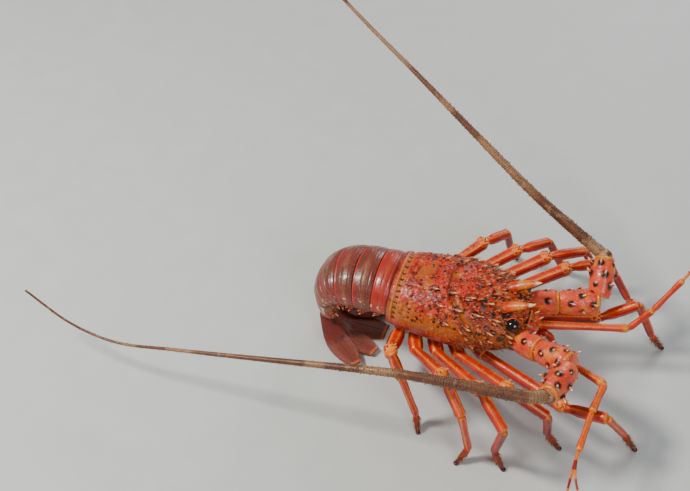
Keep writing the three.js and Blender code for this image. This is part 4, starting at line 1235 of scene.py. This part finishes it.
somites = [
    {"length": 13, "pitch": 2, "half": 26, "arch": 22, "plate": 8},
    {"length": 16, "pitch": 8, "half": 26, "arch": 22, "plate": 10},
    {"length": 16, "pitch": 22, "half": 25.5, "arch": 20.5, "plate": 9},
    {"length": 16, "pitch": 45, "half": 25, "arch": 18.5, "plate": 8},
    {"length": 16, "pitch": 75, "half": 24, "arch": 16.5, "plate": 7},
    {"length": 18, "pitch": 104, "half": 21, "arch": 14, "plate": 4},
]
somiteSkin = {
    "rows": 56,
    "arc": 110,  # steps over the back
    "hem": [(0.93, 0.6), (0.84, 1.0), (0.7, 0.5), (0.35, 0.0)],  # share of half width and of side plate
    "hemSteps": 36,
    "plateDrop": [[0, 0.35], [0.3, 0.8], [0.72, 1], [1, 0.5]],
    "setae": {**hair, "Spacing": 0.0008, "Per Area": 700000.0, "Foot": 0.00013, "Top": 0.00003,
              "Length": 0.0017, "Spread": 0.5},
}
swimmeret = {"leaf": [[0, 1.6], [0.45, 3.9], [0.85, 3.2], [1, 1.2]], "halfThickness": 0.55}


# Places along the ridge of the back, each with the ways rearward and inward
def backFrames():
    place = np.array([-0.3, 0, 74.6])
    pitches = [s["pitch"] for s in somites]
    frames = []
    for i in range(len(somites) + 1):
        if i > 0:
            place = place + heading(180, -pitches[i - 1]) * somites[i - 1]["length"]
        before = pitches[max(i - 1, 0)]
        after = pitches[min(i, len(pitches) - 1)]
        pitch = 0 if i == 0 else (before + after) / 2
        frames.append((place, heading(180, -pitch), heading(180, -pitch - 90)))
    return frames


def buildSomite(index):
    data = somites[index]
    following = somites[min(index + 1, len(somites) - 1)]
    start, stop = backFrames()[index:index + 2]
    f = np.linspace(0, 1, somiteSkin["rows"])
    middle = start[0] + (stop[0] - start[0]) * (0.01 + 0.98 * f)[:, None]
    inward = unit(start[2] + (stop[2] - start[2]) * f[:, None])
    half, arch = (data[k] + ((data[k] + following[k]) / 2 - data[k]) * f for k in ("half", "arch"))
    plate = data["plate"] * through(somiteSkin["plateDrop"], f)
    bow = np.sin(np.pi * f) * 1.2 - 0.5 * (1 - step(0, 0.16, f)) - 0.9 * step(0.93, 1, f)
    bow += 0.35 * bell(f - 0.9, 0.05) - 0.35 * bell(f - 0.2, 0.025)
    middle = middle - inward * bow[:, None]

    a = np.pi * np.arange(somiteSkin["arc"] + 1) / somiteSkin["arc"]
    hem = somiteSkin["hem"]
    hemPoints = np.array([(-y, d) for y, d in hem] + [(y, d) for y, d in hem[::-1]])
    hemSteps = somiteSkin["hemSteps"]
    fine = np.linspace(0, len(hemPoints) - 1, hemSteps)
    hemAcross, hemDepth = (np.interp(fine, range(len(hemPoints)), hemPoints[:, k]) for k in (0, 1))
    y = half[:, None] * np.concatenate([np.cos(a), hemAcross])
    depth = np.concatenate([arch[:, None] * (1 - np.sin(a) ** 0.9),
                            arch[:, None] + plate[:, None] * hemDepth], 1)
    rings = middle[:, None] + inward[:, None] * depth[..., None]
    rings[..., 1] = y
    out = unit(rings - rings.mean(1, keepdims=True))
    onBack = np.concatenate([np.ones(len(a)), np.zeros(hemSteps)])[None]
    turn = np.concatenate([np.abs(a - np.pi / 2) / (np.pi / 2), np.full(hemSteps, 1.2)])[None]
    height = 0.12 * lumps(rings, 4, index) + 0.05 * lumps(rings, 1.4, 2)
    row = f[:, None]
    transverse = bell(row - 0.52, 0.03) * step(0.12, 0.3, turn) * (1 - step(0.7, 0.9, turn))
    height = height - 0.6 * transverse * onBack
    rings = rings + out * (height * onBack)[..., None]
    masks = {
        "pale": 0.8 * (bell(row - 0.9, 0.035) * onBack),
        "darkAndShade": np.maximum(0.5 * bell(row - 0.98, 0.05) * onBack, 0.5 * transverse * onBack),
        "accentAndHighlight": np.maximum(0.52 * bell(row - 0.45, 0.2) * onBack * (0.7 + 0.6 * lumps(rings, 6, 3)),
                             0.55 * (1 - onBack)),
        "tip": 0.55 * (step(0.72, 0.9, turn) * onBack) * (lumps(rings, 1.5, 7 + index) > 0.55),
        "pitted": 0.45 * onBack,
    }
    if index == 0:
        masks["pale"] = np.maximum(masks["pale"], 0.42 * (row > 0.1) * onBack)
    name = f"abdomen_{index + 1}"
    piece = addPiece(f"shell_{name}", loft(rings, masks), abdomenLook, [name])

    spines = []
    k = int(np.argmin(np.abs(f - 0.72)))
    for sign in (1, -1):
        way = inward[k] + stop[1] * 0.9 + np.array([0, sign * 0.12, 0])
        place = middle[k] + inward[k] * (arch[k] + plate[k] * 0.92)
        place[1] = sign * half[k] * 0.86
        spines.append(spike(place - unit(way), way, 4.2, 1.5, stop[1] * 0.2))
        place = middle[k] + inward[k] * (arch[k] + plate[k] * 0.55)
        place[1] = sign * half[k] * 0.94
        spines.append(spike(place - unit(way) * 0.8, way + stop[1], 2.6, 1.0))
    addPiece(f"spines_{name}", merged(spines), hornLook)
    addScatter(f"setae_{name}", piece, bell(row - 0.95, 0.03) * onBack, hairLook,
               {**somiteSkin["setae"], "Seed": index, "Lean": tuple(stop[1] * 2.2)})
    if 1 <= index <= 4:
        buildSwimmerets(name, data, start, stop, unit(inward[len(f) // 2] - stop[1] * 0.35))


def buildSwimmerets(name, data, start, stop, hang):
    g = np.linspace(0, 1, 20)
    leaf = through(swimmeret["leaf"], g)
    length = 10 if data["arch"] > 18 else 7
    shapes = []
    for sign in (1, -1):
        root = (start[0] + stop[0]) / 2 + unit(start[2] + stop[2]) * (data["arch"] - 2)
        root[1] = sign * data["half"] * 0.42
        path = root + hang * (g * length)[:, None]
        rings = ringsAlong(path, leaf, swimmeret["halfThickness"] + 0 * g, sideways, 24)[0]
        shapes.append(loft(rings, {"accentAndHighlight": 0.5}))
    addPiece(f"swimmerets_{name}", merged(shapes), undersideLook)


for index in range(len(somites)):
    buildSomite(index)
print("abdomen built")


# Tail fan

fanRoot = {"x": -53.5, "z": 19.5, "levelAt": -32}  # the blades slope down from x to levelAt
bladeHalves = [3, 5.5, 7.6, 8.6, 8.8, 8.2, 6.6, 3.6]
telsonHalves = [8.5, 9.6, 9, 8.8, 9, 9.4, 9, 6.5]
innerBlade = {"length": 45, "halves": bladeHalves, "lift": 2.2, "thick": 1.4}
outerBlade = {"length": 43, "halves": bladeHalves, "lift": 4.2, "thick": 1.4}
fanBlades = {
    "telson": {"root": (-53.5, 0), "turn": 0, "length": 47, "halves": telsonHalves, "lift": 0, "thick": 1.6},
    "uropod_inner_left": {"root": (-51, 8), "turn": 17, **innerBlade},
    "uropod_inner_right": {"root": (-51, -8), "turn": -17, **innerBlade},
    "uropod_outer_left": {"root": (-51, 12), "turn": 36, **outerBlade},
    "uropod_outer_right": {"root": (-51, -12), "turn": -36, **outerBlade},
}
fanSetae = {**hair, "Spacing": 0.0005, "Per Area": 1500000.0, "Seed": 3, "Foot": 0.00012,
            "Length": 0.0018, "Spread": 0.25}
tailStub = {
    "from": (-47.6, 0, 26.0),
    "run": (-1.6, 0, -11.5),
    "halfWidth": [[0, 13], [0.15, 16], [0.6, 13.5], [1, 9]],
    "halfDepth": [[0, 4], [0.15, 5.6], [0.6, 5.0], [1, 2.4]],
}
fanBase = {
    "from": (-48.6, 13.5, 25.0),
    "run": (-0.4, -2.5, -10.0),
    "radius": [[0, 2.4], [0.2, 4.2], [0.7, 4.4], [1, 2.6]],
}


def buildBlade(name, blade):
    f = np.linspace(0, 1, 90)
    way = heading(blade["turn"], 0)
    side = heading(blade["turn"] + 90, 0)
    half = through(list(zip(np.linspace(0, 1, len(blade["halves"])), blade["halves"])), f)
    middle = np.array([*blade["root"], 0.0]) + way * (f * blade["length"])[:, None]
    fall = np.clip((middle[:, 0] - fanRoot["x"]) / (fanRoot["levelAt"] - fanRoot["x"]), 0, 1)
    low = blade["lift"] + fanRoot["z"] * (1 - fall) ** 2
    a = 2 * np.pi * np.arange(150) / 150
    across = np.sign(np.cos(a)) * np.abs(np.cos(a)) ** 0.8
    f = f[:, None]
    ribs = 0.16 * np.cos(across * 60) * step(0.3, 0.5, f)
    upper = blade["thick"] * (0.35 + 0.65 * (1 - across ** 2) ** 0.5)
    rise = np.where(np.sin(a)[None] > 0, upper[None] + ribs, 0.06 * np.abs(np.cos(across * 40))[None])
    rise = np.where(np.abs(np.sin(a))[None] < 0.03, 0.25 * blade["thick"], rise)
    rings = middle[:, None] + side * (half[:, None] * across)[..., None]
    rings[..., 2] += low[:, None] + rise
    soft = step(0.42, 0.5, f)  # the thin rear half of the blade
    stripe = 0.5 + 0.5 * np.cos(across * 60)[None]
    blotch = 0.5 * (lumps(rings, 3, 4) > 0.45)
    masks = {
        "accentAndHighlight": 0.46 * soft * stripe + 0.16 * (1 - soft),
        "darkAndShade": 0.45 * soft * (1 - stripe) + blotch * (1 - soft),
        "pale": 0.6 * bell(f - 0.97, 0.03),
    }
    piece = addPiece(f"blade_{name}", loft(rings, masks), fanLook, [name])
    rim = np.maximum(step(0.965, 0.99, f), (np.abs(across) > 0.97)[None] * soft)
    addScatter(f"setae_{name}", piece, rim * (np.sin(a) > 0.02)[None], hairLook,
               {**fanSetae, "Lean": tuple(way * 2.6)})


# Stub of muscle between the last somite and the fan, with the bases of the side blades
def buildFanRoot():
    f = np.linspace(0, 1, 24)
    path = np.array(tailStub["from"]) + np.array(tailStub["run"]) * f[:, None]
    folds = 0.3 * np.abs(np.sin(f * 16))
    wide = through(tailStub["halfWidth"], f) - folds
    deep = through(tailStub["halfDepth"], f) - folds
    rings = ringsAlong(path, wide, deep, sideways, 48)[0]
    addPiece("tail_stub", loft(rings, {"accentAndHighlight": 0.4 * (lumps(rings, 4, 3) > 0)}), undersideLook)
    for side, sign in sides.items():
        path = mirrored(fanBase["from"], sign) + mirrored(fanBase["run"], sign) * f[:, None]
        size = through(fanBase["radius"], f)
        rings = ringsAlong(path, size, size * 0.9, sideways, 28)[0]
        masks = {"darkAndShade": 0.5 * bell(f - 0.2, 0.1)[:, None], "accentAndHighlight": 0.5 * bell(f - 0.7, 0.2)[:, None]}
        addPiece(f"shell_fan_base_{side}", loft(rings, masks), fanLook)


for name, blade in fanBlades.items():
    buildBlade(name, blade)
buildFanRoot()
print("tail fan built")


# Floor, light and camera; their places are in metres, except the camera's anchor and distance

floorHalf = 3.0
lamps = {
    "key_lamp": {"place": (-0.75, -0.35, 1.05), "aim": (0.03, 0, 0.03), "size": 0.26, "power": 19.0,
                 "tint": (1.0, 0.95, 0.88)},
    "fill_lamp": {"place": (0.9, -0.8, 0.8), "aim": (0.03, 0, 0.03), "size": 0.7, "power": 7.0,
                  "tint": (0.95, 0.97, 1.0)},
    "rim_lamp": {"place": (0.2, 1.1, 0.6), "aim": (0.03, 0, 0.05), "size": 0.5, "power": 5.0,
                 "tint": (1.0, 1.0, 1.0)},
}
room = {"tint": (0.94, 0.96, 1.0, 1.0), "strength": 0.22}
view = {
    "azimuth": 20,
    "elevation": 46,
    "distance": 650.0,
    "anchor": (45.0, 0.0, 52.0),  # seen at anchorPixel in a picture of the given size
    "anchorPixel": (461.0, 305.0),
    "pictureSize": (690, 491),
    "lens": 50,
    "sensor": 36,
}


def buildStage():
    finish = cloudyMaterial("floor_grey", {"Scale": 40.0, "Detail": 4.0}, (196, 202, 200),
                            (208, 212, 208), 0.6, 0.0)
    mesh = bpy.data.meshes.new("floor")
    corners = [(x * floorHalf, y * floorHalf, 0) for x, y in ((-1, -1), (1, -1), (1, 1), (-1, 1))]
    mesh.from_pydata(corners, [], [(0, 1, 2, 3)])
    mesh.materials.append(finish)
    floor = bpy.data.objects.new("floor", mesh)
    scene.collection.objects.link(floor)


def buildLight():
    for name, data in lamps.items():
        light = bpy.data.lights.new(name, "AREA")
        light.shape = "DISK"
        light.size = data["size"]
        light.energy = data["power"]
        light.color = data["tint"]
        lamp = bpy.data.objects.new(name, light)
        lamp.location = data["place"]
        aim = Vector(data["aim"]) - Vector(data["place"])
        lamp.rotation_euler = aim.to_track_quat("-Z", "Y").to_euler()
        scene.collection.objects.link(lamp)
    world = bpy.data.worlds.new("room")
    scene.world = world
    world.use_nodes = True
    background = world.node_tree.nodes["Background"].inputs
    background["Color"].default_value = room["tint"]
    background["Strength"].default_value = room["strength"]


def buildCamera():
    azimuth = math.radians(view["azimuth"])
    elevation = math.radians(view["elevation"])
    width, height = view["pictureSize"]
    focalPixels = view["lens"] / view["sensor"] * width
    back = np.array([math.sin(azimuth) * math.cos(elevation), -math.cos(azimuth) * math.cos(elevation),
                     math.sin(elevation)])
    right = np.array([math.cos(azimuth), math.sin(azimuth), 0])
    upward = np.cross(back, right)
    x = (view["anchorPixel"][0] - width / 2) / focalPixels * view["distance"]
    y = -(view["anchorPixel"][1] - height / 2) / focalPixels * view["distance"]
    anchor = np.array(view["anchor"]) + shift
    place = anchor - right * x - upward * y + back * view["distance"]
    data = bpy.data.cameras.new("camera")
    data.lens = view["lens"]
    data.sensor_width = view["sensor"]
    camera = bpy.data.objects.new("camera", data)
    camera.location = Vector(place / 1000)
    camera.rotation_euler = Euler((math.pi / 2 - elevation, 0, azimuth))
    scene.collection.objects.link(camera)
    scene.camera = camera


buildStage()
buildLight()
buildCamera()
print("stage built")
